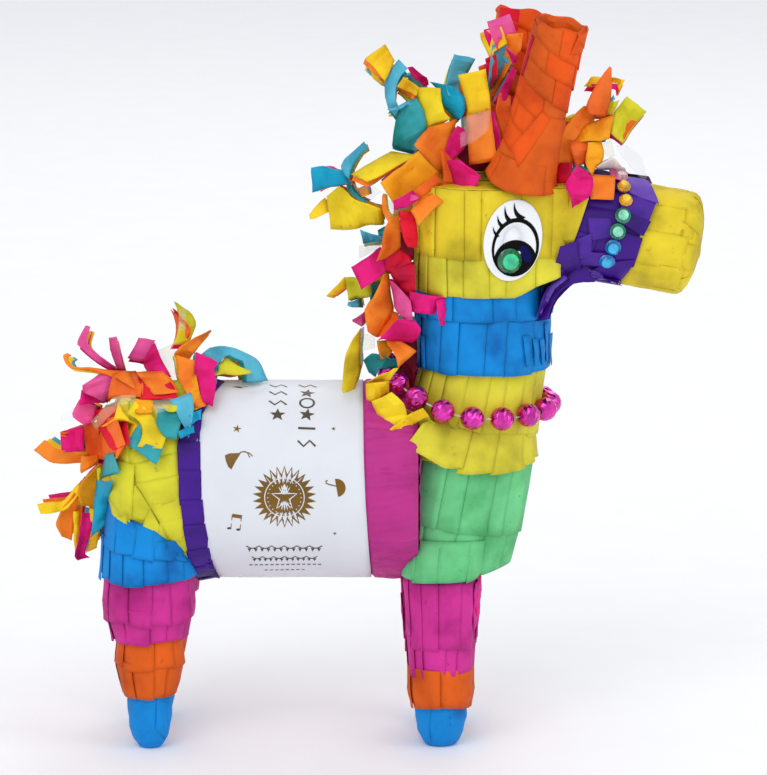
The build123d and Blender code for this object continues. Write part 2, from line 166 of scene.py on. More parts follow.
def tissue(name, code, deep, spread=0.16, crinkle=0.35):
    """Creased, slightly uneven tissue paper with fine fibres."""
    mat, tree, bsdf, coords = base_material(name)
    colour = linear(code)
    low = linear(deep)
    rough = 0.62
    blotch = noise_node(tree, coords, 55.0, 4.0)
    tone = ramp_node(tree, blotch, (0.32, shade(low, 1 - spread)), (0.52, shade(colour, 1.0)),
                     (0.7, shade(colour, 1 + spread)))
    fibre = noise_node(tree, coords, 1500.0, 2.0, stretch=(1.0, 1.0, 0.35))
    folds = noise_node(tree, coords, 120.0, 3.0, kind="RIDGED_MULTIFRACTAL", distortion=0.4)
    worn = noise_node(tree, coords, 300.0, 3.0)
    fleck = ramp_node(tree, worn, (0.24, grey(0.0)), (0.34, grey(1.0)))
    mix = tree.nodes.new("ShaderNodeMix")
    mix.data_type = "RGBA"
    tree.links.new(fleck, mix.inputs["Factor"])
    mix.inputs["A"].default_value = shade(low, 0.92)
    tree.links.new(tone, mix.inputs["B"])
    tree.links.new(mix.outputs["Result"], bsdf.inputs["Base Color"])
    gloss = ramp_node(tree, worn, (0.3, grey(rough - 0.1)), (0.7, grey(rough + 0.12)))
    tree.links.new(gloss, bsdf.inputs["Roughness"])
    bsdf.inputs["Specular IOR Level"].default_value = 0.18
    bump_node(tree, bsdf, [(folds, crinkle, 0.5), (fibre, 0.12, 0.12)])
    return mat


def crepe(name, code, deep, spread=0.2):
    """Crepe paper: fine wrinkles running along X, and soft dents."""
    mat, tree, bsdf, coords = base_material(name)
    colour, low = linear(code), linear(deep)
    blotch = noise_node(tree, coords, 70.0, 4.0, stretch=(0.5, 1.0, 1.0))
    tone = ramp_node(tree, blotch, (0.3, shade(low, 1.0)), (0.5, shade(colour, 1.0)),
                     (0.72, shade(colour, 1 + spread)))
    tree.links.new(tone, bsdf.inputs["Base Color"])
    wrinkle = noise_node(tree, coords, 500.0, 3.0, kind="RIDGED_MULTIFRACTAL",
                         stretch=(0.12, 1.0, 1.0))
    dents = noise_node(tree, coords, 110.0, 3.0, kind="RIDGED_MULTIFRACTAL", distortion=0.5,
                       stretch=(0.4, 1.0, 1.0))
    gloss = ramp_node(tree, wrinkle, (0.2, grey(0.5)), (0.9, grey(0.7)))
    tree.links.new(gloss, bsdf.inputs["Roughness"])
    bsdf.inputs["Specular IOR Level"].default_value = 0.22
    bump_node(tree, bsdf, [(dents, 0.4, 0.5), (wrinkle, 0.25, 0.15)])
    return mat


def smooth_paper(name, code, spread=0.03, rough=0.45, metal=0.0, shine=0.4):
    mat, tree, bsdf, coords = base_material(name)
    colour = linear(code)
    blotch = noise_node(tree, coords, 40.0, 4.0)
    tone = ramp_node(tree, blotch, (0.3, shade(colour, 1 - spread)),
                     (0.7, shade(colour, 1 + spread)))
    tree.links.new(tone, bsdf.inputs["Base Color"])
    grain = noise_node(tree, coords, 1800.0, 3.0)
    gloss = ramp_node(tree, grain, (0.3, grey(rough - 0.06)), (0.7, grey(rough + 0.08)))
    tree.links.new(gloss, bsdf.inputs["Roughness"])
    bsdf.inputs["Metallic"].default_value = metal
    bsdf.inputs["Specular IOR Level"].default_value = shine
    bump_node(tree, bsdf, [(blotch, 0.12, 0.4), (grain, 0.05, 0.05)])
    return mat


def chipboard(name, code):
    mat, tree, bsdf, coords = base_material(name)
    colour = linear(code)
    pulp = noise_node(tree, coords, 700.0, 5.0)
    tone = ramp_node(tree, pulp, (0.3, shade(colour, 0.72)), (0.55, shade(colour, 1.0)),
                     (0.75, shade(colour, 1.25)))
    tree.links.new(tone, bsdf.inputs["Base Color"])
    bsdf.inputs["Roughness"].default_value = 0.85
    bump_node(tree, bsdf, [(pulp, 0.25, 0.15)])
    return mat


def gem(name, code, clear=0.35, metal=0.0, rough=0.06):
    """Faceted acrylic: glossy, partly clear, cloudier in places."""
    mat, tree, bsdf, coords = base_material(name)
    colour = linear(code)
    cloud = noise_node(tree, coords, 260.0, 2.0)
    tone = ramp_node(tree, cloud, (0.35, shade(colour, 0.7)), (0.65, shade(colour, 1.25)))
    tree.links.new(tone, bsdf.inputs["Base Color"])
    scratch = noise_node(tree, coords, 900.0, 2.0)
    gloss = ramp_node(tree, scratch, (0.4, grey(rough)), (0.8, grey(rough + 0.12)))
    tree.links.new(gloss, bsdf.inputs["Roughness"])
    bsdf.inputs["Metallic"].default_value = metal
    bsdf.inputs["Transmission Weight"].default_value = clear
    bsdf.inputs["IOR"].default_value = 1.49
    bsdf.inputs["Coat Weight"].default_value = 0.6
    bsdf.inputs["Coat Roughness"].default_value = 0.03
    return mat


def film(name, code, alpha):
    """Clear film: thin, glossy, with streaks where it is creased."""
    mat, tree, bsdf, coords = base_material(name)
    colour = linear(code)
    streak = noise_node(tree, coords, 160.0, 3.0, kind="RIDGED_MULTIFRACTAL", distortion=0.6)
    tone = ramp_node(tree, streak, (0.2, shade(colour, 0.92)), (0.9, shade(colour, 1.1)))
    tree.links.new(tone, bsdf.inputs["Base Color"])
    body = ramp_node(tree, streak, (0.3, grey(alpha)), (0.95, grey(min(1.0, alpha * 2.4))))
    tree.links.new(body, bsdf.inputs["Alpha"])
    bsdf.inputs["Roughness"].default_value = 0.12
    bump_node(tree, bsdf, [(streak, 0.4, 0.4)])
    return mat


tissue_colours = {                        # and the darker tone in their folds
    "yellow": ("f0d426", "d8b820"), "head": ("dcc42a", "c6ae22"), "olive": ("d6cc3a", "c2b830"),
    "rump": ("d6d032", "c2be2c"), "blue": ("0a84d0", "0868ba"), "green": ("6cca86", "58ba72"),
    "pink": ("cc3090", "b4207c"), "orange": ("da5c14", "c84c0e"), "ear": ("e4540e", "d24408"),
    "flame": ("f2702a", "e6581a"), "red": ("dc1430", "c01040"), "magenta": ("e4187c", "c80c58"),
    "rose": ("e85a9c", "d84088"), "amber": ("f5a41c", "ee8a14"), "gold": ("f6cc20", "eeb01c"),
    "lime": ("dcd42c", "b8b824"), "teal": ("38a2aa", "188a86"), "sky": ("5ab6d0", "40a2c0"),
    "cyan": ("14a0c4", "0c88b0"), "tangerine": ("f88828", "f06c1c"),
}
# Stone colours, and darker copies of some of them for the girdles and crown facets: painted facet
# shade round a brighter table.
gem_colours = {
    "gem_green": "1cd292", "gem_green_shade": "0a6a40", "gem_mint_shade": "2c8c66", "gem_blue_shade": "0878c0",
    "gem_yellow_shade": "e0a008", "gem_mint": "8ce2c2", "gem_blue": "1cb8f2", "gem_yellow": "ffd21c",
}
M = {
    **{key: gem(key, code, clear=0.1) for key, code in gem_colours.items()},
    **{key: tissue(key + "_tissue", *codes) for key, codes in tissue_colours.items()},
    "snout": tissue("snout_tissue", "dec62c", "c4ac24", crinkle=0.5),
    "deep": tissue("shade_darkened_red_tissue", "7a0820", "50061c"),
    # Very dark red tissue: red paper darkened as painted shade, for sheets deep inside the strip
    # bunches and the shadowed red beside the necklace.
    "white_tissue": tissue("white_tissue", "eef0ee", "dfe4e2", spread=0.04),
    "purple": crepe("purple_crepe", "3e1282", "2a0a5c"),
    # The two lighter purple crepes below are copies of the purple crepe, lightened as painted
    # highlight on its folds and patches.
    "lilac": crepe("purple_highlight_crepe", "6444a8", "46288c"),
    "violet": crepe("purple_half_highlight_crepe", "4c2694", "32127a"),
    "shoulder": crepe("shoulder_crepe", "b82e84", "a02272", spread=0.1),
    "band": smooth_paper("band_paper", "dee1e6"),
    "ink": smooth_paper("gold_ink", "7d5a12", spread=0.2, rough=0.38, metal=0.25),
    "dark_ink": smooth_paper("grey_ink", "4a4030", spread=0.2, rough=0.4),
    "gold_sticker": smooth_paper("gold_sticker", "b08a3a", spread=0.12, rough=0.3, metal=0.7),
    "eye_white": smooth_paper("eye_white", "eef0f4", spread=0.015, rough=0.3),
    "eye_black": smooth_paper("eye_black", "030304", spread=0.2, rough=0.3, shine=0.1),
    "eye_navy": smooth_paper("eye_navy", "0a0850", spread=0.2, rough=0.3, shine=0.1),
    "board": chipboard("chipboard", "9a8468"),
    "gem_clear": gem("gem_clear", "f4d8d4", clear=0.7),
    "bead": gem("bead_mirror", "d82aa4", clear=0.0, metal=0.92, rough=0.08),
    "thread": gem("clear_thread", "f0e4d4", clear=0.5, rough=0.15),
    "film": film("clear_film", "eef4f6", 0.1),
    "pale_film": film("pale_film", "f4ecb4", 0.17),
}

# ---- mesh building ---------------------------------------------------------------------


class Piece:
    """One mesh, filled from grids and outlines in millimetres."""

    def __init__(self, name):
        self.name, self.points, self.faces, self.marks, self.mats = name, [], [], [], []

    def mark(self, mat):
        if mat not in self.mats:
            self.mats.append(mat)
        return self.mats.index(mat)

    def grid(self, rows, mat, closed=False):
        base, width = len(self.points), len(rows[0])
        for row in rows:
            self.points += [Vector(p) for p in row]
        for i in range(len(rows) - 1):
            for j in range(width if closed else width - 1):
                k = (j + 1) % width
                a, b = base + i * width, base + (i + 1) * width
                self.faces.append((a + j, a + k, b + k, b + j))
                self.marks.append(self.mark(mat))

    def fan(self, middle, ring, mat):
        base = len(self.points)
        self.points += [Vector(middle)] + [Vector(p) for p in ring]
        for j in range(len(ring)):
            self.faces.append((base, base + 1 + j, base + 1 + (j + 1) % len(ring)))
            self.marks.append(self.mark(mat))

    def build(self, body, replaces=(), thick=0.14, smooth=True, crease=26.0):
        mesh = bpy.data.meshes.new(self.name)
        mesh.from_pydata([p * MM for p in self.points], [], self.faces)
        for mat in self.mats:
            mesh.materials.append(M[mat])
        mesh.polygons.foreach_set("material_index", self.marks)
        mesh.polygons.foreach_set("use_smooth", [smooth] * len(self.faces))
        if smooth:
            mesh.set_sharp_from_angle(angle=radians(crease))
        mesh.update()
        obj = bpy.data.objects.new(self.name, mesh)
        bpy.context.scene.collection.objects.link(obj)
        if thick:
            wall = obj.modifiers.new("paper", "SOLIDIFY")
            wall.thickness = thick * MM
            wall.offset = 0.0
        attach(obj, body)
        if replaces:
            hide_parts(*replaces)
        return obj


def wobble(p, size, seed=0.0):
    """Smooth noise in -1 to 1 at a point, with features about size mm across."""
    return noise.noise(Vector(p) / size + Vector((seed, seed * 0.7, seed * 1.3)))


def ridge(p, size, seed=0.0):
    """Creases: 1 on the crease and falling away from it."""
    return 1.0 - abs(wobble(p, size, seed)) * 2.2


class Tube:
    """A surface round an axis. Angles are in degrees from 'up'; radius is a function of
    (s, angle), a number, or (place, radius) stops along the axis."""

    def __init__(self, origin, axis, up, radius):
        self.origin, self.axis = Vector(origin), Vector(axis).normalized()
        up = Vector(up)
        self.up = (up - self.axis * up.dot(self.axis)).normalized()
        self.side = self.axis.cross(self.up)
        if isinstance(radius, list):
            radius = line_between(radius)
        self.radius = radius if callable(radius) else (lambda s, a: radius)

    def at(self, s, angle, off=0.0):
        t = radians(angle)
        out = self.up * cos(t) + self.side * sin(t)
        return self.origin + self.axis * s + out * (self.radius(s, angle) + off)


def line_between(stops):
    """Piecewise-linear function through (place, value) stops."""
    def value(s, angle=0.0):
        if s <= stops[0][0]:
            return stops[0][1]
        for (s0, v0), (s1, v1) in zip(stops, stops[1:]):
            if s <= s1:
                return v0 + (v1 - v0) * (s - s0) / (s1 - s0)
        return stops[-1][1]
    return value


def upright(x, y, radius):
    """A standing tube: s is height; angles from the camera side, + toward the front."""
    return Tube((x, y, 0), (0, 0, 1), (0, -1, 0), radius)


def lattice(rows, cols, point):
    """Rows of points for a grid: point(t, u), with t and u from 0 to 1."""
    return [[point(i / rows, j / cols) for j in range(cols + 1)] for i in range(rows + 1)]


skin_steps = 72                           # columns of the uncut skin under a ring's flaps
skin_depth = -0.25                        # how far it lies below the ring's surface


def fringe(piece, tube, top, bottom, mat, seed, wide=17.0, flare=0.8, wave=0.7, skew=0.0,
           hem=lambda angle: 0.0, crush=0.2):
    """A tissue ring round a tube: an uncut skin, and over it flaps with free lower ends.

    wide is a flap's width in degrees, flare how far its end stands out, wave how uneven the
    ends are, skew how far they lean, hem the rise of the ring's edge at an angle.
    """
    rng = random.Random(seed)
    step = 1 if bottom > top else -1
    skin = []
    for i in range(5):
        row = []
        for j in range(skin_steps):
            angle = 360.0 * j / skin_steps
            low = bottom + hem(angle)
            row.append(tube.at(top + (low - top) * 0.96 * i / 4, angle, skin_depth))
        skin.append(row)
    piece.grid(skin, mat, closed=True)
    count = max(1, round(360.0 / wide))
    cuts = [360.0 * (i + rng.uniform(-0.22, 0.22)) / count for i in range(count)]
    cuts.append(cuts[0] + 360.0)
    for a0, a1 in zip(cuts, cuts[1:]):
        over = rng.uniform(0.5, 3.0)
        drop = rng.uniform(-wave, wave)
        slope = rng.uniform(-wave, wave) * 0.6
        tilt = rng.uniform(0.6, 1.3) * 0.45
        bow = rng.uniform(-0.2, 0.5)
        curl = rng.uniform(0.3, 1.0) * flare
        turn = rng.uniform(-1.0, 1.0) + skew

        def flap(t, u):
            angle = a0 + (a1 - a0 + over) * u + turn * t
            end = bottom + step * (drop + slope * (u - 0.5) * 2)
            end += hem(angle)
            s = top + (end - top) * t
            off = 0.1 + tilt * u + curl * t * t + bow * sin(pi * u) * t
            p = tube.at(s, angle)
            off += (crush * (wobble(p, 6.0, seed) + 0.6 * ridge(p, 9.0, seed + 3.0) - 0.5)
                    * (0.4 + t))
            return tube.at(s, angle, off)

        piece.grid(lattice(7, 5, flap), mat)


def patch(piece, surface, corners, mat, lift=0.2, rows=5, cols=5, crush=0.1, seed=0.0):
    """A four-cornered paper patch laid on a surface; corners are (s, angle) in turn."""
    (s0, a0), (s1, a1), (s2, a2), (s3, a3) = corners

    def point(t, u):
        s = (s0 * (1 - u) + s1 * u) * (1 - t) + (s3 * (1 - u) + s2 * u) * t
        a = (a0 * (1 - u) + a1 * u) * (1 - t) + (a3 * (1 - u) + a2 * u) * t
        return surface.at(s, a, lift + crush * wobble(surface.at(s, a), 5.0, seed))

    piece.grid(lattice(rows, cols, point), mat)


def both_sides(corners):
    """A patch's corners, and their mirror image across the middle plane."""
    return corners, [(s, 360.0 - a) for s, a in reversed(corners)]


def on_circle(angle, r, z):
    return cos(radians(angle)) * r, sin(radians(angle)) * r, z


# ---- barrel: rump, purple strip, printed band, pink shoulder ---------------------------

barrel_z = 105.0


def barrel_surface(radius):
    """Angles from the top, 90 toward the camera, 180 underneath; s is X."""
    return Tube((0, 0, barrel_z), (1, 0, 0), (0, 0, 1), radius)


band_left = line_between([(0, -57.5), (6, -58.9), (25, -62.9), (38, -65.9), (49, -66.3),
                          (72, -66.3), (91, -65.6), (108, -64.1), (128, -62.3), (150, -58.9),
                          (180, -57.5)])
band_right = line_between([(0, -1.0), (65, -0.5), (90, 0.2), (108, 0.9), (143, 2.2), (180, 2.4)])


def fold(angle):
    """Both halves of the barrel mirror each other."""
    angle = angle % 360.0
    return angle if angle <= 180.0 else 360.0 - angle


def spans(start, stop, step):
    """Even places from start to stop, about step apart."""
    count = max(1, round((stop - start) / step))
    return [start + (stop - start) * i / count for i in range(count + 1)]


band_r = 39.2
band_surface = barrel_surface(band_r)


def band_point(x, angle, off=0.0):
    """A point on the printed band, which hangs loose underneath."""
    under = max(0.0, -cos(radians(angle)))
    loose = 0.7 * under ** 2 + 0.25 * wobble((x, angle * 0.5, 0), 26.0, 4.0)
    return band_surface.at(x, angle, loose + off)


def rear_edge(angle):
    return band_left(fold(angle))


def front_edge(angle):
    return band_right(fold(angle))


flap_angles = (293.0, 347.0)              # where the CAD has its fill opening
flap_span = (-39.5, -10.5)


def band_part(piece, start, stop, left, right, mat="band"):
    """A stretch of the band between two angles; left and right give its edges at an angle."""
    rows = []
    for a in spans(start, stop, 3.0):
        rows.append([band_point(left(a) + (right(a) - left(a)) * j / 24, a) for j in range(25)])
    piece.grid(rows, mat)


band = Piece("belly_band_paper")
band_part(band, flap_angles[1] - 360.0, flap_angles[0], rear_edge, front_edge)
band_part(band, *flap_angles, rear_edge, lambda a: flap_span[0])
band_part(band, *flap_angles, lambda a: flap_span[1], front_edge)
band.build("body", ["belly_band"], thick=0.16)

flap = Piece("flap_paper")
gap = 0.3
flap_edge = degrees(gap / band_r)
band_part(flap, flap_angles[0] + flap_edge, flap_angles[1] - flap_edge,
          lambda a: flap_span[0] + gap, lambda a: flap_span[1] - gap)
flap.build("fill_flap", ["fill_flap_paper"], thick=0.16)

# ---- gold print: rosette, confetti, party shapes and plain dashes ----------------------

prints = body_prints = Piece("gold_print")
flap_prints = Piece("flap_print")       # what lies on the flap turns with it


def print_shape(x0, angle0, outline, mat="ink", turn=0.0, middle=(0.0, 0.0), lift=0.14):
    """An outline in mm round (x0, angle0), u along X and v up, filled from its middle."""
    c, s = cos(radians(turn)), sin(radians(turn))

    def place(u, v):
        return band_point(x0 + u * c - v * s, angle0 - degrees((u * s + v * c) / band_r), lift)

    steps = []
    for (u0, v0), (u1, v1) in zip(outline, outline[1:] + outline[:1]):
        cuts = max(1, round(hypot(u1 - u0, v1 - v0) / 1.5))
        steps += [(u0 + (u1 - u0) * k / cuts, v0 + (v1 - v0) * k / cuts) for k in range(cuts)]
    rings = [[place(middle[0] + (u - middle[0]) * r, middle[1] + (v - middle[1]) * r)
              for u, v in steps] for r in (1.0, 0.5)]
    prints.grid(rings, mat, closed=True)
    prints.fan(place(*middle), rings[1], mat)


def star_outline(points, outer, inner, start=90.0):
    outline = []
    for k in range(2 * points):
        r = outer if k % 2 == 0 else inner
        a = radians(start + 180.0 * k / points)
        outline.append((r * cos(a), r * sin(a)))
    return outline


def stroke(x0, angle0, path, width, mat="ink"):
    """A drawn line: path points in mm round (x0, angle0)."""
    def place(u, v):
        return band_point(x0 + u, angle0 - degrees(v / band_r), 0.16)
    rows = []
    for i, (u, v) in enumerate(path):
        u0, v0 = path[max(0, i - 1)]
        u1, v1 = path[min(len(path) - 1, i + 1)]
        size = hypot(u1 - u0, v1 - v0)
        nu, nv = -(v1 - v0) / size * width / 2, (u1 - u0) / size * width / 2
        rows.append([place(u + nu, v + nv), place(u - nu, v - nv)])
    prints.grid(rows, mat)


def arc_path(u, v, r, start, stop, count):
    path = []
    for k in range(count + 1):
        a = radians(start + (stop - start) * k / count)
        path.append((u + r * cos(a), v + r * sin(a)))
    return path


for side in (1, -1):                      # the band's two sides carry the same print
    def at(angle):
        return angle if side > 0 else 360.0 - angle
    if side > 0:
        rosette = -31.7, at(88.5)
        print_shape(*rosette, star_outline(26, 12.6, 9.2))
        stroke(*rosette, arc_path(0, 0, 7.8, 0, 360, 40), 0.35, "band")
        stroke(*rosette, star_outline(5, 5.2, 2.1) + [(0.0, 5.2)], 0.55, "band")
        for k in range(24):
            u, v = 6.6 * cos(radians(15 * k)), 6.6 * sin(radians(15 * k))
            stroke(*rosette, [(u - 0.2, v), (u + 0.2, v)], 0.4, "band")
    print_shape(-50.5, at(47.6), star_outline(5, 1.9, 0.7, 80.0))
    print_shape(-11.9, at(111.0), star_outline(5, 0.8, 0.35, 100.0))
    hat = [(-4.2, 2.2), (-2.6, 3.0), (1.2, 3.2), (2.4, 3.6), (0.2, 0.0), (-1.6, -3.4), (-2.8, -2.4),
           (-3.8, 0.0)]
    print_shape(-51.0, at(67.3), hat, middle=(-1.6, 1.0))
    stroke(-51.0, at(67.3), [(1.8, 3.4), (3.6, 3.8), (4.8, 3.2), (5.6, 1.4)], 0.45)
    stroke(-51.0, at(67.3), [(3.6, 3.6), (5.4, 3.2), (6.8, 1.8)], 0.4)
    notes = -51.3, at(104.0)
    stroke(*notes, [(-1.6, -2.2), (-1.0, 3.4)], 0.35)
    stroke(*notes, [(2.0, -2.8), (2.6, 2.8)], 0.35)
    stroke(*notes, [(-1.0, 3.2), (2.8, 2.6)], 1.5)
    note_head = [(0.9 * cos(radians(a)), 0.55 * sin(radians(a))) for a in range(0, 360, 40)]
    for u, v in ((-2.3, -2.4), (1.3, -3.0)):
        print_shape(notes[0] + u, notes[1] - degrees(v / band_r), note_head, "dark_ink")
    umbrella = -11.8, at(82.0)
    print_shape(*umbrella, arc_path(0.6, -0.6, 3.6, -80, 100, 14), middle=(2.2, 0.2))
    stroke(*umbrella, [(1.0, 0.0), (-2.4, 0.8), (-3.4, 1.2), (-3.6, 2.0), (-2.9, 2.4)], 0.45)
    print_shape(-50.0, at(10.5),
                [(-3.2, 0.2), (-1.0, 1.0), (0.6, 0.2), (3.8, 0.5), (0.8, -0.4), (1.0, -1.4),
                 (-0.6, -0.9)])
    if side < 0:
        prints = flap_prints
    print_shape(-12.4, at(47.6), star_outline(5, 1.0, 0.4, 100.0))
    rng = random.Random(11)
    columns = (((-34.6, (9.0, 46.0)), (-23.0, (9.0, 60.0)))
               if side > 0 else ((-34.2, (19.0, 50.0)), (-23.0, (19.0, 50.0))))
    for column, (low, high) in columns:
        angle = low
        while angle < high:               # two upright rows of confetti, in place of words
            here = column, at(angle)
            kind = rng.choice("dsob")
            if kind == "d":
                dash = [(-3.4, rng.uniform(-0.8, 0.8)), (3.4, rng.uniform(-0.8, 0.8))]
                stroke(*here, dash, 1.0, "dark_ink")
            elif kind == "s":
                print_shape(*here, star_outline(5, 3.3, 1.4, rng.uniform(0, 90)), "dark_ink")
            elif kind == "o":
                stroke(*here, arc_path(0, 0, 2.8, 0, 360, 16), 0.85, "dark_ink")
            else:
                zigzag = [(-3.5, 1.2), (-1.2, -1.2), (1.2, 1.2), (3.5, -1.2)]
                stroke(*here, zigzag, 0.85, "dark_ink")
            angle += 9.6
    prints = body_prints
    pennant = [(-0.75, 0.7), (0.75, 0.7), (0.0, -1.2)]
    for height, half in ((120.0, 15.0), (129.0, 13.0)):   # two garlands under the rosette
        line = [(-half + 2 * half * k / 24, -1.4 * sin(pi * ((k / 4.0) % 1.0))) for k in range(25)]
        stroke(-32.0, at(height), line, 0.5, "dark_ink")
        for u, v in line[1:24:2]:
            print_shape(-32.0 + u, at(height) - degrees((v - 1.1) / band_r), pennant, "dark_ink")
    for height, half in ((137.5, 14.0), (144.5, 8.0)):    # and two rows of dashes
        for k in range(int(half)):
            u = -half + 2.1 * k
            stroke(-32.0, at(height), [(u, 0.0), (u + 1.2, 0.15)], 0.8, "dark_ink")
body_prints.build("body", thick=0)
flap_prints.build("fill_flap", thick=0)

seal = Piece("flap_seal")
seal_r = 7.9
seal_ring = [(seal_r * cos(radians(a)), seal_r * sin(radians(a))) for a in range(0, 360, 10)]


def seal_place(u, v, lift):
    return band_surface.at(-25.0 + u, flap_angles[0] + 0.9 + degrees(v / band_r), lift)


for radius, lift, mat in ((1.0, 0.45, "gold_sticker"), (0.55, 0.52, "ink")):
    rings = [[seal_place(u * r * radius, v * r * radius, lift) for u, v in seal_ring]
             for r in (1.0, 0.66, 0.33)]
    seal.grid(rings, mat, closed=True)
    seal.fan(seal_place(0, 0, lift), rings[2], mat)
seal.build("fill_flap", ["flap_seal_sticker"], thick=0.12)

# ---- purple strip and pink shoulder ----------------------------------------------------

purple_left = line_between([(0, -67.5), (60, -73.9), (88, -73.3), (105, -71.8), (125, -70.3),
                            (143, -67.8), (180, -66.0)])
purple = Piece("purple_strip")
purple_surface = barrel_surface(38.75)
rng = random.Random(3)
angle = -8.0
while angle < 352.0:
    wide = rng.uniform(13.0, 19.0)
    tilt, shift, bow = rng.uniform(-0.5, 0.5), rng.uniform(-0.5, 0.4), rng.uniform(0.1, 0.5)

    def crushed(t, u):
        a = angle + (wide + 3.0) * t
        left = purple_left(fold(a)) + shift
        x = left + (rear_edge(a) + 1.5 - left) * u
        p = purple_surface.at(x, a)
        crush = 0.35 * ridge((p.x * 0.6, p.y, p.z), 5.0, 2.0) + 0.25 * wobble(p, 3.0, 5.0)
        off = 2.1 - 2.1 * u ** 1.3 + 0.45 * (1 - t) + bow * sin(pi * t) * 0.5 + 0.25 * crush
        return purple_surface.at(x + tilt * (t - 0.5), a, off)

    purple.grid(lattice(8, 8, crushed), "purple")
    angle += wide
for k in range(9):                        # crushed corner under the band
    a0 = 128.0 + 4.0 * k
    lift = rng.uniform(0.6, 1.9)
    s0 = purple_left(a0) + rng.uniform(0.3, 1.5)
    s1 = band_left(a0) + rng.uniform(-1.0, 0.5)
    corners = [(s0, a0 - 7), (s1, a0 - 4), (s1 + 0.6, a0 + 8), (s0 + 1, a0 + 6)]
    patch(purple, purple_surface, corners, "purple", lift=lift, crush=1.1, seed=k)
purple.build("body", ["purple_rear_band"])

shoulder = Piece("pink_shoulder")
rng = random.Random(19)
crease_count = 52
shoulder_creases = []                     # angle, slope, depth, width, how far it starts
for k in range(crease_count):
    middle = 360.0 * (k + rng.uniform(-0.35, 0.35)) / crease_count
    slope, deep, wide = rng.uniform(-0.35, 0.35), rng.uniform(0.25, 0.9), rng.uniform(1.4, 3.2)
    shoulder_creases.append((middle, slope, deep, wide, rng.uniform(-4.0, 10.0)))


def shoulder_point(x, a):
    """Crinkled crepe that runs on over the rounded end of the barrel."""
    past = max(0.0, x - 14.0)
    surface = barrel_surface(39.45 - 0.06 * past * past)
    p = surface.at(min(x, 21.0), a)
    creases = 0.55 * ridge((p.x * 0.18 + 2.0 * wobble(p, 14.0, 8.0), p.y, p.z), 5.2, 1.0)
    dents = 0.5 * wobble(p, 9.0, 6.0) + 0.3 * wobble(p, 3.2, 7.0)
    gather = max(0.0, -cos(radians(a)) - 0.55) * 2.6 * ridge((p.x * 0.6, p.y, p.z * 0.4), 6.0, 9.0)
    for middle, slope, deep, wide, reach in shoulder_creases:
        away = abs((a - middle - slope * x + 180.0) % 360.0 - 180.0) / wide
        if away < 1.0 and x > reach - 6.0:
            creases += 1.6 * deep * (1.0 - away) * min(1.0, (x - reach + 6.0) / 5.0)
    under = max(0.0, min(1.0, 1.4 - (x - front_edge(a))))
    off = (0.55 * (creases + dents) + 0.5 * max(0.0, gather)) * (1 - under) - 0.35 - 0.35 * under
    return surface.at(min(x, 21.0), a, off)


round_steps = 420
rows = []
for i in range(round_steps + 1):
    a = 360.0 * i / round_steps
    start = front_edge(a) - 2.4
    rows.append([shoulder_point(start + (23.0 - start) * j / 36, a) for j in range(37)])
shoulder.grid(rows, "shoulder")
end_ring = [rows[i][-1] for i in range(0, round_steps, 7)]
disc = []                                 # the end, closed toward its middle
for r in (1.0, 0.85, 0.6, 0.3):
    disc.append([])
    for p in end_ring:
        q = Vector((p.x + 0.5, p.y * r, barrel_z + (p.z - barrel_z) * r))
        disc[-1].append(q + Vector((0.5 * ridge(p * r, 7.0, 3.0), 0, 0)))
shoulder.grid(disc, "shoulder", closed=True)
shoulder.fan((21.5, 0, barrel_z), disc[3], "shoulder")
shoulder.build("body", ["pink_shoulder_band"])

# ---- rump ------------------------------------------------------------------------------


rump_start, rump_depth = -88.0, 12.0      # where the rounding starts, and how far it reaches


def rump_radius(s, a):
    """Cylinder that rounds over to the rear; s is X."""
    past = max(0.0, rump_start - s)
    return 39.5 * sqrt(max(0.0, 1 - (past / rump_depth) ** 3.8))


class Rump(Tube):
    """The rump's surface: what stands off its rounded end stands off to the rear too."""

    def at(self, s, angle, off=0.0):
        past = max(0.0, rump_start - s) / rump_depth
        p = super().at(s, angle, off)
        p.x -= (off + 2.3) * past
        return p


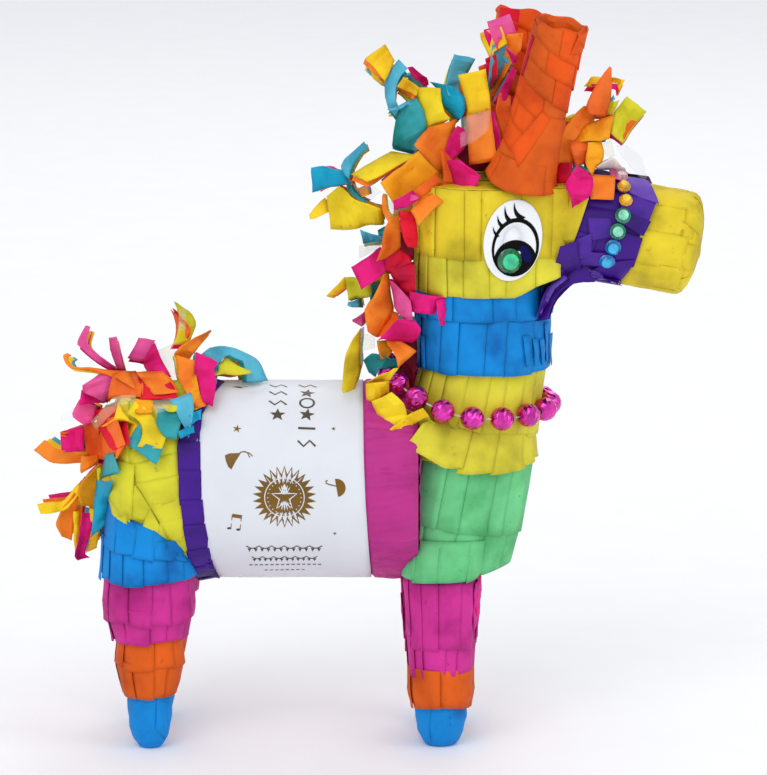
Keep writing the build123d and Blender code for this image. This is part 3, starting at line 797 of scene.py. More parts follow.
rump_surface = Rump((0, 0, barrel_z), (1, 0, 0), (0, 0, 1), rump_radius)
rump = Piece("rump_tissue")
rows = []
for s in (-66.0, -70.0, -75.0, -80.0, -84.0, -87.0, -90.0, -92.5, -95.0, -97.0, -98.6, -99.5,
          -99.95):
    rows.append([])
    for a in range(0, 360, 4):
        off = -0.25 + 0.3 * wobble(rump_surface.at(s, a), 7.0, 2.0)
        rows[-1].append(rump_surface.at(s, a, off))
rump.grid(rows, "rump", closed=True)
rump.fan((-102.3, 0, 98.0), rows[-1], "rump")
near_patches = [
    [(-96.5, 40.0), (-67.0, 28.0), (-68.0, 41.0), (-95.0, 52.0)],
    [(-95.5, 50.0), (-70.0, 38.0), (-72.0, 53.0), (-94.1, 63.0)],
    [(-94.1, 61.2), (-72.6, 50.2), (-72.4, 63.0), (-90.9, 71.3)],
    [(-91.2, 69.3), (-72.4, 61.2), (-72.4, 76.5), (-88.9, 83.0)],
    [(-91.9, 70.8), (-91.5, 84.3), (-96.5, 101.0), (-99.4, 96.0)],
    [(-90.0, 81.0), (-84.3, 94.5), (-87.0, 101.5), (-96.0, 101.0)],
    [(-84.9, 93.0), (-80.9, 105.0), (-80.5, 113.4), (-88.6, 109.4)],
    [(-80.9, 103.0), (-75.0, 122.5), (-74.5, 124.5), (-82.2, 113.4)],
    [(-89.9, 80.3), (-84.0, 95.0), (-71.6, 88.5), (-72.0, 75.0)],
    [(-85.0, 92.5), (-79.8, 105.5), (-70.5, 101.0), (-71.6, 87.0)],
    [(-81.0, 103.0), (-76.0, 120.3), (-69.5, 115.0), (-70.5, 99.5)],
    [(-77.0, 118.3), (-72.9, 133.6), (-66.5, 137.5), (-69.5, 113.5)],
    [(-97.6, 66.0), (-90.0, 70.0), (-91.0, 101.0), (-99.2, 101.0)],
]
for k, corners in enumerate(near_patches):
    for q in both_sides(corners):
        patch(rump, rump_surface, q, "rump", lift=0.5 + 0.05 * k, rows=6, cols=6, seed=k * 1.7)
rng = random.Random(8)
for k in range(26):                       # strips laid across the end and over the top
    a = 360.0 * k / 26 + rng.uniform(-4, 4)
    s = rng.uniform(-99.2, -97.0)
    q = [(s, a), (s + 6, a + 4), (-92.0, a + 30), (-96.0, a + 22)]
    patch(rump, rump_surface, q, "rump", lift=rng.uniform(0.3, 1.2), crush=0.3, seed=k)
rump.build("body", ["rump_wrap"])

# ---- rear legs -------------------------------------------------------------------------

haunch_edge = [(-99.6, 101.0), (-96.0, 103.4), (-89.6, 107.1), (-82.6, 112.2), (-73.7, 124.7),
               (-68.4, 138.3), (-66.6, 147.0)]
haunch_hem = [(-103.6, 84.0), (-99.6, 83.4), (-92.0, 82.4), (-84.0, 81.4), (-76.0, 80.6),
              (-70.0, 79.0), (-66.9, 77.0)]
thigh_r = 19.2
foot_steps = 60                           # columns of a foot wrap


def wrap_foot(foot, tube, height, folds):
    """Crumpled tissue round a foot, closed below; folds: depth, slant, spacing, seed."""
    depth, slant, spacing, seed = folds
    rows = []
    for i in range(height + 1):
        rows.append([])
        for j in range(foot_steps):
            a = 360.0 / foot_steps * j
            fold = ridge(tube.at(i, a) + Vector((0, 0, slant * sin(radians(2 * a)))), spacing, seed)
            rows[-1].append(tube.at(i, a, depth * fold - 0.4 if i else 0.0))
    foot.grid(rows, "blue", closed=True)
    foot.fan(tube.origin, rows[0], "blue")


for side, tag in ((1, "right"), (-1, "left")):
    rear_x, rear_y = -86.3, -22.0 * side
    haunch = Piece("haunch_" + tag)
    rng = random.Random(21 + side)
    for k in range(len(haunch_edge) - 1): # from the barrel out over the top of the thigh
        drops = rng.uniform(-0.7, 0.7), rng.uniform(-0.7, 0.7)
        edge, next_edge, hem, next_hem = *haunch_edge[k:k + 2], *haunch_hem[k:k + 2]

        def draped(t, u):
            u = u * 1.12 - 0.06
            s0 = edge[0] + (next_edge[0] - edge[0]) * u
            a0 = edge[1] + (next_edge[1] - edge[1]) * u - 4.0
            start = rump_surface.at(max(-99.9, s0), a0 * side, 0.3 + 0.04 * k)
            x = hem[0] + (next_hem[0] - hem[0]) * u
            z = hem[1] + (next_hem[1] - hem[1]) * u + drops[0] * (1 - u) + drops[1] * u
            out = sqrt(max(0.0, thigh_r ** 2 - (x - rear_x) ** 2))
            end = Vector((x, rear_y - side * (out + 0.25 + 0.08 * k + 0.4 * u), z))
            p = start.lerp(end, t)
            p.y -= side * (0.9 * sin(pi * t) + 0.15 * wobble(p, 5.0, k))
            return p

        haunch.grid(lattice(8, 6, draped), "blue")
    haunch.build("body")

    thigh = Piece("thigh_" + tag)
    fringe(thigh, upright(rear_x, rear_y, [(70.0, 18.8), (88.0, 18.2)]), 88.0, 70.6, "blue",
           31 + side, wide=26.0, flare=0.6, wave=0.8)
    thigh.build("body", ["rear_thigh_fringe_" + tag])
    pink = Piece("rear_pink_" + tag)
    stops = [(43.2, 13.2), (52.0, 15.9), (60.0, 18.0), (72.0, 18.0)]
    fringe(pink, upright(rear_x, rear_y, stops), 60.0, 44.0, "pink", 41 + side, wide=32.0,
           flare=1.0, wave=0.7, crush=0.35, hem=lambda a: 1.4 * sin(radians(a + 60)))
    fringe(pink, upright(rear_x, rear_y, [(50.0, 16.6), (60.0, 18.0), (72.0, 17.0)]), 73.0, 53.5,
           "pink", 45 + side, wide=30.0, flare=1.2, wave=0.8, crush=0.35)
    pink.build("body", ["rear_leg_pink_fringe_" + tag])
    orange = Piece("rear_orange_" + tag)
    stops = [(21.2, 9.6), (27.0, 11.6), (34.0, 13.2), (46.0, 13.4)]
    fringe(orange, upright(rear_x, rear_y, stops), 37.0, 21.8, "orange", 51 + side, wide=42.0,
           flare=0.6, wave=0.5)
    fringe(orange, upright(rear_x, rear_y, [(33.0, 13.3), (47.0, 12.6)]), 47.0, 34.4, "orange",
           55 + side, wide=46.0, flare=1.0, wave=0.8, crush=0.3)
    orange.build("body", ["rear_leg_orange_fringe_" + tag])
    foot = Piece("rear_foot_" + tag)
    tube = upright(rear_x, rear_y,
                   [(0.0, 4.4), (1.2, 5.6), (4.0, 7.1), (8.0, 8.3), (14.0, 8.9), (26.0, 9.3)])
    wrap_foot(foot, tube, 26, (0.5, 6.0, 8.0, 2.0 + side))
    patch(foot, tube, [(24.0, 20.0), (23.0, 75.0), (3.0, 60.0), (9.0, 18.0)], "blue", lift=0.35,
          rows=8, cols=6, crush=0.25, seed=3.0)
    foot.build("body", ["rear_foot_wrap_" + tag], thick=0)

    front_x, front_y = 30.3, -18.0 * side
    pink = Piece("front_pink_" + tag)
    stops = [(29.0, 12.2), (45.0, 13.8), (67.0, 15.2)]
    fringe(pink, upright(front_x, front_y, stops), 46.0, 30.0, "pink", 61 + side, wide=30.0,
           flare=0.6, wave=0.4, crush=0.25, hem=lambda a: 1.6 * sin(radians(a)))
    fringe(pink, upright(front_x, front_y, stops), 70.0, 41.5, "pink", 65 + side, wide=29.0,
           flare=1.0, wave=0.6, crush=0.5)
    rng = random.Random(71 + side)
    for k in range(7):                    # torn folds at the front edge and at the back
        a = rng.choice((70.0, 84.0, 96.0, -88.0, -104.0)) + rng.uniform(-8, 8)
        tube = upright(front_x, front_y, stops)
        s = rng.uniform(56.0, 72.0)
        corners = [(s, a - 14), (s + 1, a + 12), (s - 18, a + 8), (s - 20, a - 12)]
        patch(pink, tube, corners, rng.choice(("pink", "magenta", "pink")),
              lift=rng.uniform(0.5, 1.5), crush=0.8, seed=k + side)
    cap = []                              # the wrap's closed top, under the chest
    for up_by, scale in ((-1.0, 1.0), (1.5, 0.98), (3.6, 0.86), (4.6, 0.6), (4.9, 0.3)):
        r = 15.1 * scale
        cap.append([Vector((front_x + r * sin(radians(10 * j)), front_y - r * cos(radians(10 * j)),
                            69.0 + up_by)) for j in range(36)])
    pink.grid(cap, "pink", closed=True)
    pink.build("body", ["front_leg_pink_fringe_" + tag])
    orange = Piece("front_orange_" + tag)
    fringe(orange, upright(front_x, front_y, [(15.7, 11.2), (22.0, 12.9), (34.0, 13.0)]), 33.0,
           16.6, "orange", 75 + side, wide=58.0,
           flare=0.4, wave=0.5, hem=lambda a: 1.1 * cos(radians(a * 2.0)))
    orange.build("body", ["front_leg_orange_fringe_" + tag])
    foot = Piece("front_foot_" + tag)
    tube = upright(front_x, front_y,
                   [(0.0, 6.2), (1.4, 7.6), (5.0, 9.3), (11.0, 10.5), (20.0, 10.9)])
    wrap_foot(foot, tube, 20, (0.45, 4.0, 9.0, 5.0 + side))
    patch(foot, tube, [(19.0, -70.0), (19.0, -20.0), (2.5, -30.0), (5.0, -66.0)], "blue", lift=0.3,
          rows=8, cols=6, crush=0.25, seed=7.0)
    foot.build("body", ["front_foot_wrap_" + tag], thick=0)

# ---- chest, collar, neck and head rings ------------------------------------------------

neck_x = 47.0                             # the neck stands here
chest_top = Vector((neck_x, 0, 150))      # and the chest leans back from here
lean = radians(10.5)
up_chest = Vector((sin(lean), 0, cos(lean)))


def chest_tube(stops):
    """s runs down the chest from its top; angles from the camera side, + toward the front."""
    return Tube(chest_top, up_chest, (0, -1, 0), stops)


green = Piece("chest_rings")


def chest_hem(angle):
    """The lowest ring is cut shorter at the front."""
    return 7.0 * max(0.0, sin(radians(angle)) - 0.45) / 0.55


fringe(green, chest_tube([(-84.0, 24.4), (-62.0, 26.4), (-55.0, 26.4)]), -58.0, -80.5, "green", 81,
       wide=25.0, flare=0.3, wave=0.9, crush=0.25, hem=chest_hem)
fringe(green, chest_tube([(-66.0, 26.8), (-34.0, 26.4), (-26.0, 25.0)]), -28.0, -62.0, "green", 83,
       wide=23.0, flare=0.5, wave=0.6, crush=0.3)
bottom = [chest_tube([(0, 23.8)]).at(-80.0 + chest_hem(10.0 * j), 10.0 * j) for j in range(36)]
green.fan(chest_top - up_chest * 86.0, bottom, "green")
for side in (1, -1):                      # flaps of the lower ring spread over the tops of the legs
    rng = random.Random(85 + side)
    flap_edges = (-84.0, -46.0, -6.0, 40.0, 84.0)
    for k in range(4):
        sag = rng.uniform(-0.8, 0.6)

        def spread(t, u):
            a = radians(flap_edges[k] - 2.0 + (flap_edges[k + 1] - flap_edges[k] + 4.0) * u)
            x = 30.3 + 15.9 * sin(a)
            middle_x = neck_x - 66.0 * tan(lean)
            start = Vector((x + 1.5, -side * sqrt(26.9 ** 2 - (x + 1.5 - middle_x) ** 2), 85.0))
            end = Vector((x, -side * (18.0 + (15.9 + 0.12 * k) * cos(a)),
                          69.6 + sag + 1.2 * (k % 2) * u))
            p = start.lerp(end, t)
            p.y -= side * (0.5 + 1.6 * sin(pi * t ** 1.6) + 0.2 * wobble(p, 5.0, k))
            return p

        green.grid(lattice(8, 8, spread), "green")
green.build("body", ["chest_fringe_lower", "chest_fringe_upper"])

collar = Piece("collar_rings")


def collar_hem(angle):
    """The lower flaps spread, lowest in front of the camera and higher toward the throat."""
    return 2.4 * cos(radians(angle + 8.0)) + 7.4 * max(0.0, sin(radians(angle))) ** 1.3 - 0.4


fringe(collar, chest_tube([(-40.0, 30.2), (-30.0, 27.4), (-18.0, 24.6)]), -19.0, -38.5, "olive", 91,
       wide=24.0, flare=1.3, wave=1.1, skew=-3.0, crush=0.35,
       hem=collar_hem)
fringe(collar, chest_tube([(-21.0, 25.2), (0.0, 24.4), (9.0, 24.0)]), 9.0, -21.0, "olive", 93,
       wide=19.0, flare=0.7, wave=0.7, crush=0.3)
collar.build("body", ["collar_upper", "collar_lower"])

neck = Piece("neck_rings")
fringe(neck, upright(neck_x, 0, [(151.0, 26.5), (174.0, 26.7)]), 175.0, 151.9, "blue", 101,
       wide=21.0, flare=0.5, wave=0.5, crush=0.3, skew=-3.0)
fringe(neck, upright(neck_x, 0, [(173.0, 27.1), (186.0, 26.6)]), 186.0, 173.6, "blue", 103,
       wide=26.0, flare=0.3, wave=0.4, crush=0.25)
rng = random.Random(103)
for a in (38.0, 49.0, 58.0, 66.0, 75.0, -60.0, -120.0, 120.0, 150.0):    # narrow pleats
    low = 152.4 + rng.uniform(0.0, 3.0)
    high = rng.uniform(164.0, 172.0)
    patch(neck, upright(neck_x, 0, [(151.0, 26.9), (174.0, 26.9)]),
          [(high, a - 5.0), (high, a + 2.0), (low, a + 3.0), (low, a - 1.5)], "blue",
          lift=rng.uniform(0.7, 1.3), rows=8, cols=3, crush=0.5, seed=a)
neck.build("body", ["neck_fringe_lower", "neck_fringe_upper"])

cheek_turn = 77.8


def head_outline(front, grow):
    """Radius round the neck's axis; the face narrows to a flat front."""
    def value(s, angle):
        turn = abs(angle % 360.0 - 90.0)
        turn = min(turn, 360.0 - turn)
        r = 28.0
        if turn < cheek_turn:
            r /= cos(radians(cheek_turn - turn))
            r = min(r, front / max(0.1, cos(radians(turn))))
        return r + grow
    return value


head = Piece("head_rings")


def jaw_hem(angle):
    """The lower ring is cut away under the cheeks, where the noseband's tissue runs down."""
    return 9.0 * min(1.0, max(0.0, sin(radians(angle)) - 0.43) / 0.43) ** 1.2


fringe(head, upright(neck_x, 0, head_outline(30.0, -0.7)), 201.5, 183.5, "olive", 111, wide=18.0,
       flare=0.35, wave=0.35, crush=0.25, hem=jaw_hem)
fringe(head, upright(neck_x, 0, head_outline(32.5, -0.2)), 226.4, 198.8, "head", 113, wide=23.0,
       flare=0.3, wave=0.4, crush=0.25)
crown = upright(neck_x, 0, head_outline(32.5, -0.3))
crown_z = 226.4
rows = []
for scale in (1.0, 0.9, 0.7, 0.45, 0.2):
    rows.append([])
    for j in range(72):
        p = crown.at(crown_z, 5.0 * j)
        z = crown_z + 0.9 * (1 - scale) + 0.35 * ridge(p * scale, 7.0, 4.0)
        rows[-1].append(Vector((neck_x + (p.x - neck_x) * scale, p.y * scale, z)))
head.grid(rows, "head", closed=True)
head.fan((neck_x, 0, crown_z + 1.0), rows[-1], "head")
head.build("body", ["head_fringe_lower", "head_fringe_upper"])

# ---- muzzle ----------------------------------------------------------------------------

drop = radians(11.0)
muzzle_dir = Vector((cos(drop), 0, -sin(drop)))
muzzle_root = Vector((125.4, 0, 201.1)) - muzzle_dir * 70.0


def muzzle_tube(radius):
    """s runs to the nose; angles from the top, 90 toward the camera, 180 under the chin."""
    return Tube(muzzle_root, muzzle_dir, (0, 0, 1), radius)


noseband = Piece("noseband_wrap")


def nose_radius(s, a):
    """Gathered in a little under the chin, and pinched toward the cheek."""
    under = max(0.0, -cos(radians(a)))
    return 21.3 - 0.8 * under - 0.03 * max(0.0, 30.0 - s) ** 1.5


nose_surface = muzzle_tube(nose_radius)
nose_start, nose_end = 22.0, 52.5
rows = []
for i in range(31):
    rows.append([])
    for a in range(0, 360, 3):
        reach = nose_end + 1.0 * sin(radians(3 * a)) - nose_start
        s = nose_start + 1.2 * sin(radians(a * 2)) + reach * i / 30
        p = nose_surface.at(s, a)
        under = max(0.0, -cos(radians(a)) - 0.35)
        off = 0.55 * (ridge(p, 11.0, 3.0) - 0.5) + 0.3 * wobble(p, 5.0, 1.0)
        off += under * 2.4 * (ridge((p.x * 0.25, p.y, p.z), 4.0, 6.0) - 0.5)
        rows[-1].append(nose_surface.at(s, a, off - 0.3))
noseband.grid(rows, "purple", closed=True)
nose_patches = [                          # (s, angle) corners in turn, paper, lift
    [(24, 62), (44, 60), (47, 128), (25, 132), "purple", 0.5],
    [(40, 78), (53, 84), (52, 118), (42, 122), "purple", 0.9],
    # The lighter purple patches are painted highlight on the purple crepe.
    [(44, 30), (56, 44), (53.5, 74), (42, 62), "violet", 1.3],
    [(42, 12), (52, 14), (57, 46), (45, 40), "lilac", 1.9],
    [(24, 88), (36, 92), (34, 126), (22, 124), "purple", 1.0],
    [(30, 74), (39, 70), (42, 88), (33, 96), "violet", 1.3],
    [(46, 62), (55, 66), (53, 82), (44, 74), "purple", 1.8],
    [(26, 8), (42, 4), (43, 34), (27, 38), "purple", 0.8],
    [(40, 118), (52, 108), (49, 140), (34, 146), "purple", 1.2],
    [(26, 112), (40, 106), (42, 122), (29, 130), "violet", 1.4],
]
for k, (*corners, mat, lift) in enumerate(nose_patches):
    for mirror, q in enumerate(both_sides(corners)):
        patch(noseband, nose_surface, q, mat, lift=lift, rows=8, cols=8, crush=0.55,
              seed=k * 1.9 + mirror)
rng = random.Random(13)
for k in range(9):                        # pleats gathered under the chin; every third one is in the lighter purple, a painted highlight
    a = 146.0 + 8.5 * k
    corners = [(20 + rng.uniform(-2, 2), a), (20, a + 7),
               (50 + rng.uniform(-4, 1), a + 9), (49, a + 2)]
    patch(noseband, nose_surface, corners, "purple" if k % 3 else "lilac", lift=0.4 + 0.6 * (k % 2),
          rows=10, cols=4, crush=0.7, seed=k * 3.1)
noseband.build("body", ["noseband"])

snout = Piece("snout_wrap_tissue")


def snout_radius(s, a):
    """A straight tube that domes over at its end."""
    past = max(0.0, s - 70.5) / 7.6
    return 20.1 * sqrt(max(0.0, 1 - past ** 2.4))


snout_surface = muzzle_tube(snout_radius)
rows = []
for s in (47.0, 51.0, 56.0, 62.0, 67.0, 70.5, 72.5, 74.2, 75.6, 76.8, 77.6, 78.0):
    rows.append([])
    for a in range(0, 360, 4):
        p = snout_surface.at(s, a)
        q = snout_surface.at(s, a, 0.45 * (ridge(p, 9.0, 5.0) - 0.5) - 0.2)
        rows[-1].append(q + muzzle_dir * (0.5 * wobble(p, 6.0, 2.0) if s > 74 else 0.0))
snout.grid(rows, "snout", closed=True)
snout.fan(muzzle_root + muzzle_dir * 78.1, rows[-1], "snout")
rng = random.Random(17)
angle = 6.0
while angle < 366.0:                      # strips laid along the snout, each over the next
    wide = rng.uniform(24.0, 40.0)
    s0, s1 = 49.0, rng.uniform(70.0, 74.0)
    q = [(s0, angle + rng.uniform(-3, 3)), (s0, angle + wide + 5),
         (s1, angle + wide + 4 + rng.uniform(-3, 3)), (s1, angle)]
    patch(snout, snout_surface, q, "snout", lift=rng.uniform(0.25, 0.7), rows=8, cols=8, crush=0.35,
          seed=angle)
    angle += wide
for k in range(16):                       # the strips' ends folded over the nose
    a = 22.5 * k + rng.uniform(-5, 5)
    q = [(68.0, a - 12), (68.5, a + 12), (76.9, a + 24), (76.9, a - 14)]
    patch(snout, snout_surface, q, "snout", lift=rng.uniform(0.2, 0.8), rows=6, cols=5, crush=0.4,
          seed=k * 2.1)
snout.build("body", ["snout_wrap"])

nose_cover = Piece("nose_orange_patch")
patch(nose_cover, nose_surface, [(27, 26), (38.5, 20), (39.0, 52), (30, 56)], "tangerine", lift=2.5,
      rows=6, cols=6, crush=0.2, seed=2.0)
patch(nose_cover, nose_surface, [(36, 6), (44, 2), (43, 26), (37, 24)], "rose", lift=2.3, rows=6,
      cols=6, crush=0.3, seed=4.0)
lap_surface = muzzle_tube(lambda s, a: nose_radius(s, a) + 0.5 * max(0.0, 30.0 - s))
# The face's tissue runs onto the muzzle, and the purple laps back over it; the last lap, in a
# lighter purple, is painted highlight.
cheek_laps = [
    [(19, 40), (29.5, 50), (26.5, 103), (18, 108), "head", 2.2, nose_surface],
    [(21.5, 104), (28, 98), (33, 138), (21, 146), "purple", 2.0, lap_surface],
    [(26, 100), (33, 88), (35, 116), (27, 124), "violet", 1.6, nose_surface],
]
cheek_cover = Piece("cheek_patches")
for mirror in (0, 1):
    for *corners, mat, lift, base in cheek_laps:
        patch(cheek_cover, base, both_sides(corners)[mirror], mat, lift=lift, rows=9, cols=7,
              crush=0.35, seed=lift + mirror)
cheek_cover.build("body")
nose_cover.build("body")

# ---- gems ------------------------------------------------------------------------------


def add_gem(piece, place, out, r, mat, height, sides, table, rim):
    """A round cut stone: girdle, crown facets and a flat table. Where rim is a darker copy of mat,
    it paints the crown's shade round a brighter table.
    """
    out = Vector(out).normalized()
    side = out.orthogonal().normalized()
    other = out.cross(side)
    rings = []
    for scale, rise_by, turn in ((0.92, -0.25, 0.0), (1.0, 0.2, 0.0), (0.82, 0.62, 0.5),
                                 (table, 1.0, 0.0)):
        rings.append([])
        for j in range(sides):
            t = 2 * pi * (j + turn) / sides
            rings[-1].append(Vector(place) + (side * cos(t) + other * sin(t)) * r * scale
                             + out * height * rise_by)
    piece.grid(rings, rim, closed=True)
    piece.fan(Vector(place) + out * height, rings[-1], mat)


nose_stones = Piece("nose_stones")
# Colours from the middle of the nose outward, two stones of each, and their girdles' colours:
# darker copies of the stone colours, painted shade on the girdles and crown facets.
stone_rims = {"gem_clear": "gem_clear", "gem_yellow": "gem_yellow_shade", "gem_mint": "gem_mint_shade",
              "gem_blue": "gem_blue_shade"}
stone_colours = [colour for colour in stone_rims for _ in range(2)]
stone_step = 16.4
stone_lead = (0.0, 0.6, 1.9, 3.3, 3.2, 2.3, 1.8, 0.7)
band_mid = muzzle_tube(21.8)
for k in range(-7, 8):
    run = 40.5 + stone_lead[abs(k)]
    place = band_mid.at(run, stone_step * k, 0.9 if abs(k) > 3 else 1.2)
    out = place - band_mid.at(run, 0, -21.8)
    colour = stone_colours[abs(k)]
    height, sides, table = (2.4, 9, 0.55) if colour == "gem_yellow" else (1.9, 14, 0.64)
    add_gem(nose_stones, place, out, 3.2 if abs(k) > 3 else 2.8, colour, height, sides, table,
            stone_rims[colour])
nose_stones.build("body", ["nose_gems"], thick=0, smooth=False)

# ---- eyes ------------------------------------------------------------------------------

lashes = [                                # tip, bend and root, and the width there
    ((-8.1, 5.8), (-7.9, 3.4), (-6.0, 1.6), 1.5),
    ((-6.2, 10.2), (-6.3, 6.6), (-3.6, 5.4), 2.0),
    ((-3.3, 13.8), (-3.6, 9.4), (-0.9, 7.4), 2.2),
    ((0.5, 15.0), (0.0, 10.4), (4.0, 8.4), 2.6),
]
for side, tag in ((-1, "right"), (1, "left")):
    out = Vector((cos(radians(cheek_turn)), side * sin(radians(cheek_turn)), 0))
    along = Vector((sin(radians(cheek_turn)), -side * cos(radians(cheek_turn)), 0))
    reach_out = 28.55                     # from the neck's axis to the cheek
    forward = (11.0 - out.x * reach_out) / along.x
    middle = Vector((neck_x, 0, 206.7)) + out * reach_out + along * forward
    sticker = Piece("eye_print_" + tag)

    def eye(u, v, lift):
        return middle + along * u + Vector((0, 0, v)) + out * lift

    def ellipse(cu, cv, ru, rv, tilt, count=48):
        c, s = cos(radians(tilt)), sin(radians(tilt))
        outline = []
        for k in range(count):
            u, v = ru * cos(2 * pi * k / count), rv * sin(2 * pi * k / count)
            outline.append((cu + u * c + v * s, cv - u * s + v * c))
        return outline

    def disc(outline, centre, mat, lift):
        cu, cv = centre
        rings = [[eye(cu + (u - cu) * r, cv + (v - cv) * r, lift) for u, v in outline]
                 for r in (1.0, 0.97, 0.6, 0.3)]
        sticker.grid(rings, mat, closed=True)
        sticker.fan(eye(cu, cv, lift), rings[-1], mat)

    disc(ellipse(0, 0, 11.75, 16.3, 9.0), (0, 0), "eye_white", 0.15)
    outer = ellipse(1.0, -2.8, 9.5, 11.7, 9.0, 60)
    inner = ellipse(0.9, -3.3, 8.4, 10.5, 9.0, 60)
    outline = [[eye(*p, 0.3) for p in oval] for oval in (outer, inner)]
    sticker.grid(outline, "eye_black", closed=True)
    iris_c, iris_r = (0.9, -8.6), 8.7
    lower = []
    for u, v in inner:
        if hypot(u - iris_c[0], v - iris_c[1]) > iris_r and v > iris_c[1]:
            away = Vector((u - iris_c[0], v - iris_c[1])).normalized() * iris_r
            u, v = iris_c[0] + away.x, iris_c[1] + away.y
        lower.append((u, v))
    disc(lower, (0.9, -7.4), "eye_black", 0.29)
    disc(ellipse(5.0, -5.6, 1.9, 3.6, -28.0, 30), (5.0, -5.6), "eye_navy", 0.33)
    disc(ellipse(-1.2, -4.0, 0.7, 0.5, 0.0, 16), (-1.2, -4.0), "eye_white", 0.36)
    disc(ellipse(2.3, -5.2, 0.75, 0.9, 20.0, 16), (2.3, -5.2), "eye_white", 0.36)
    for tip, bend, root, width in lashes:
        rows = []
        for i in range(9):
            t = i / 8
            u = tip[0] * (1 - t) ** 2 + 2 * bend[0] * t * (1 - t) + root[0] * t * t
            v = tip[1] * (1 - t) ** 2 + 2 * bend[1] * t * (1 - t) + root[1] * t * t
            half = width * 0.5 * t ** 0.8
            rows.append([eye(u - half * 0.8, v - half * 0.5, 0.34),
                         eye(u + half * 0.8, v + half * 0.5, 0.34)])
        sticker.grid(rows, "eye_black")
    sticker.build("body", ["eye_sticker_" + tag], thick=0.1)
    stone = Piece("eye_stone_" + tag)
    # Bright green table inside a darker green crown ring: painted highlight in the middle, painted
    # shade on the outer facets.
    add_gem(stone, eye(-1.5, -8.0, 0.5), out, 5.0, "gem_green", 2.6, 16, 0.64, "gem_green_shade")
    stone.build("body", thick=0, smooth=False)
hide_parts("eye_gems")

# ---- ears ------------------------------------------------------------------------------

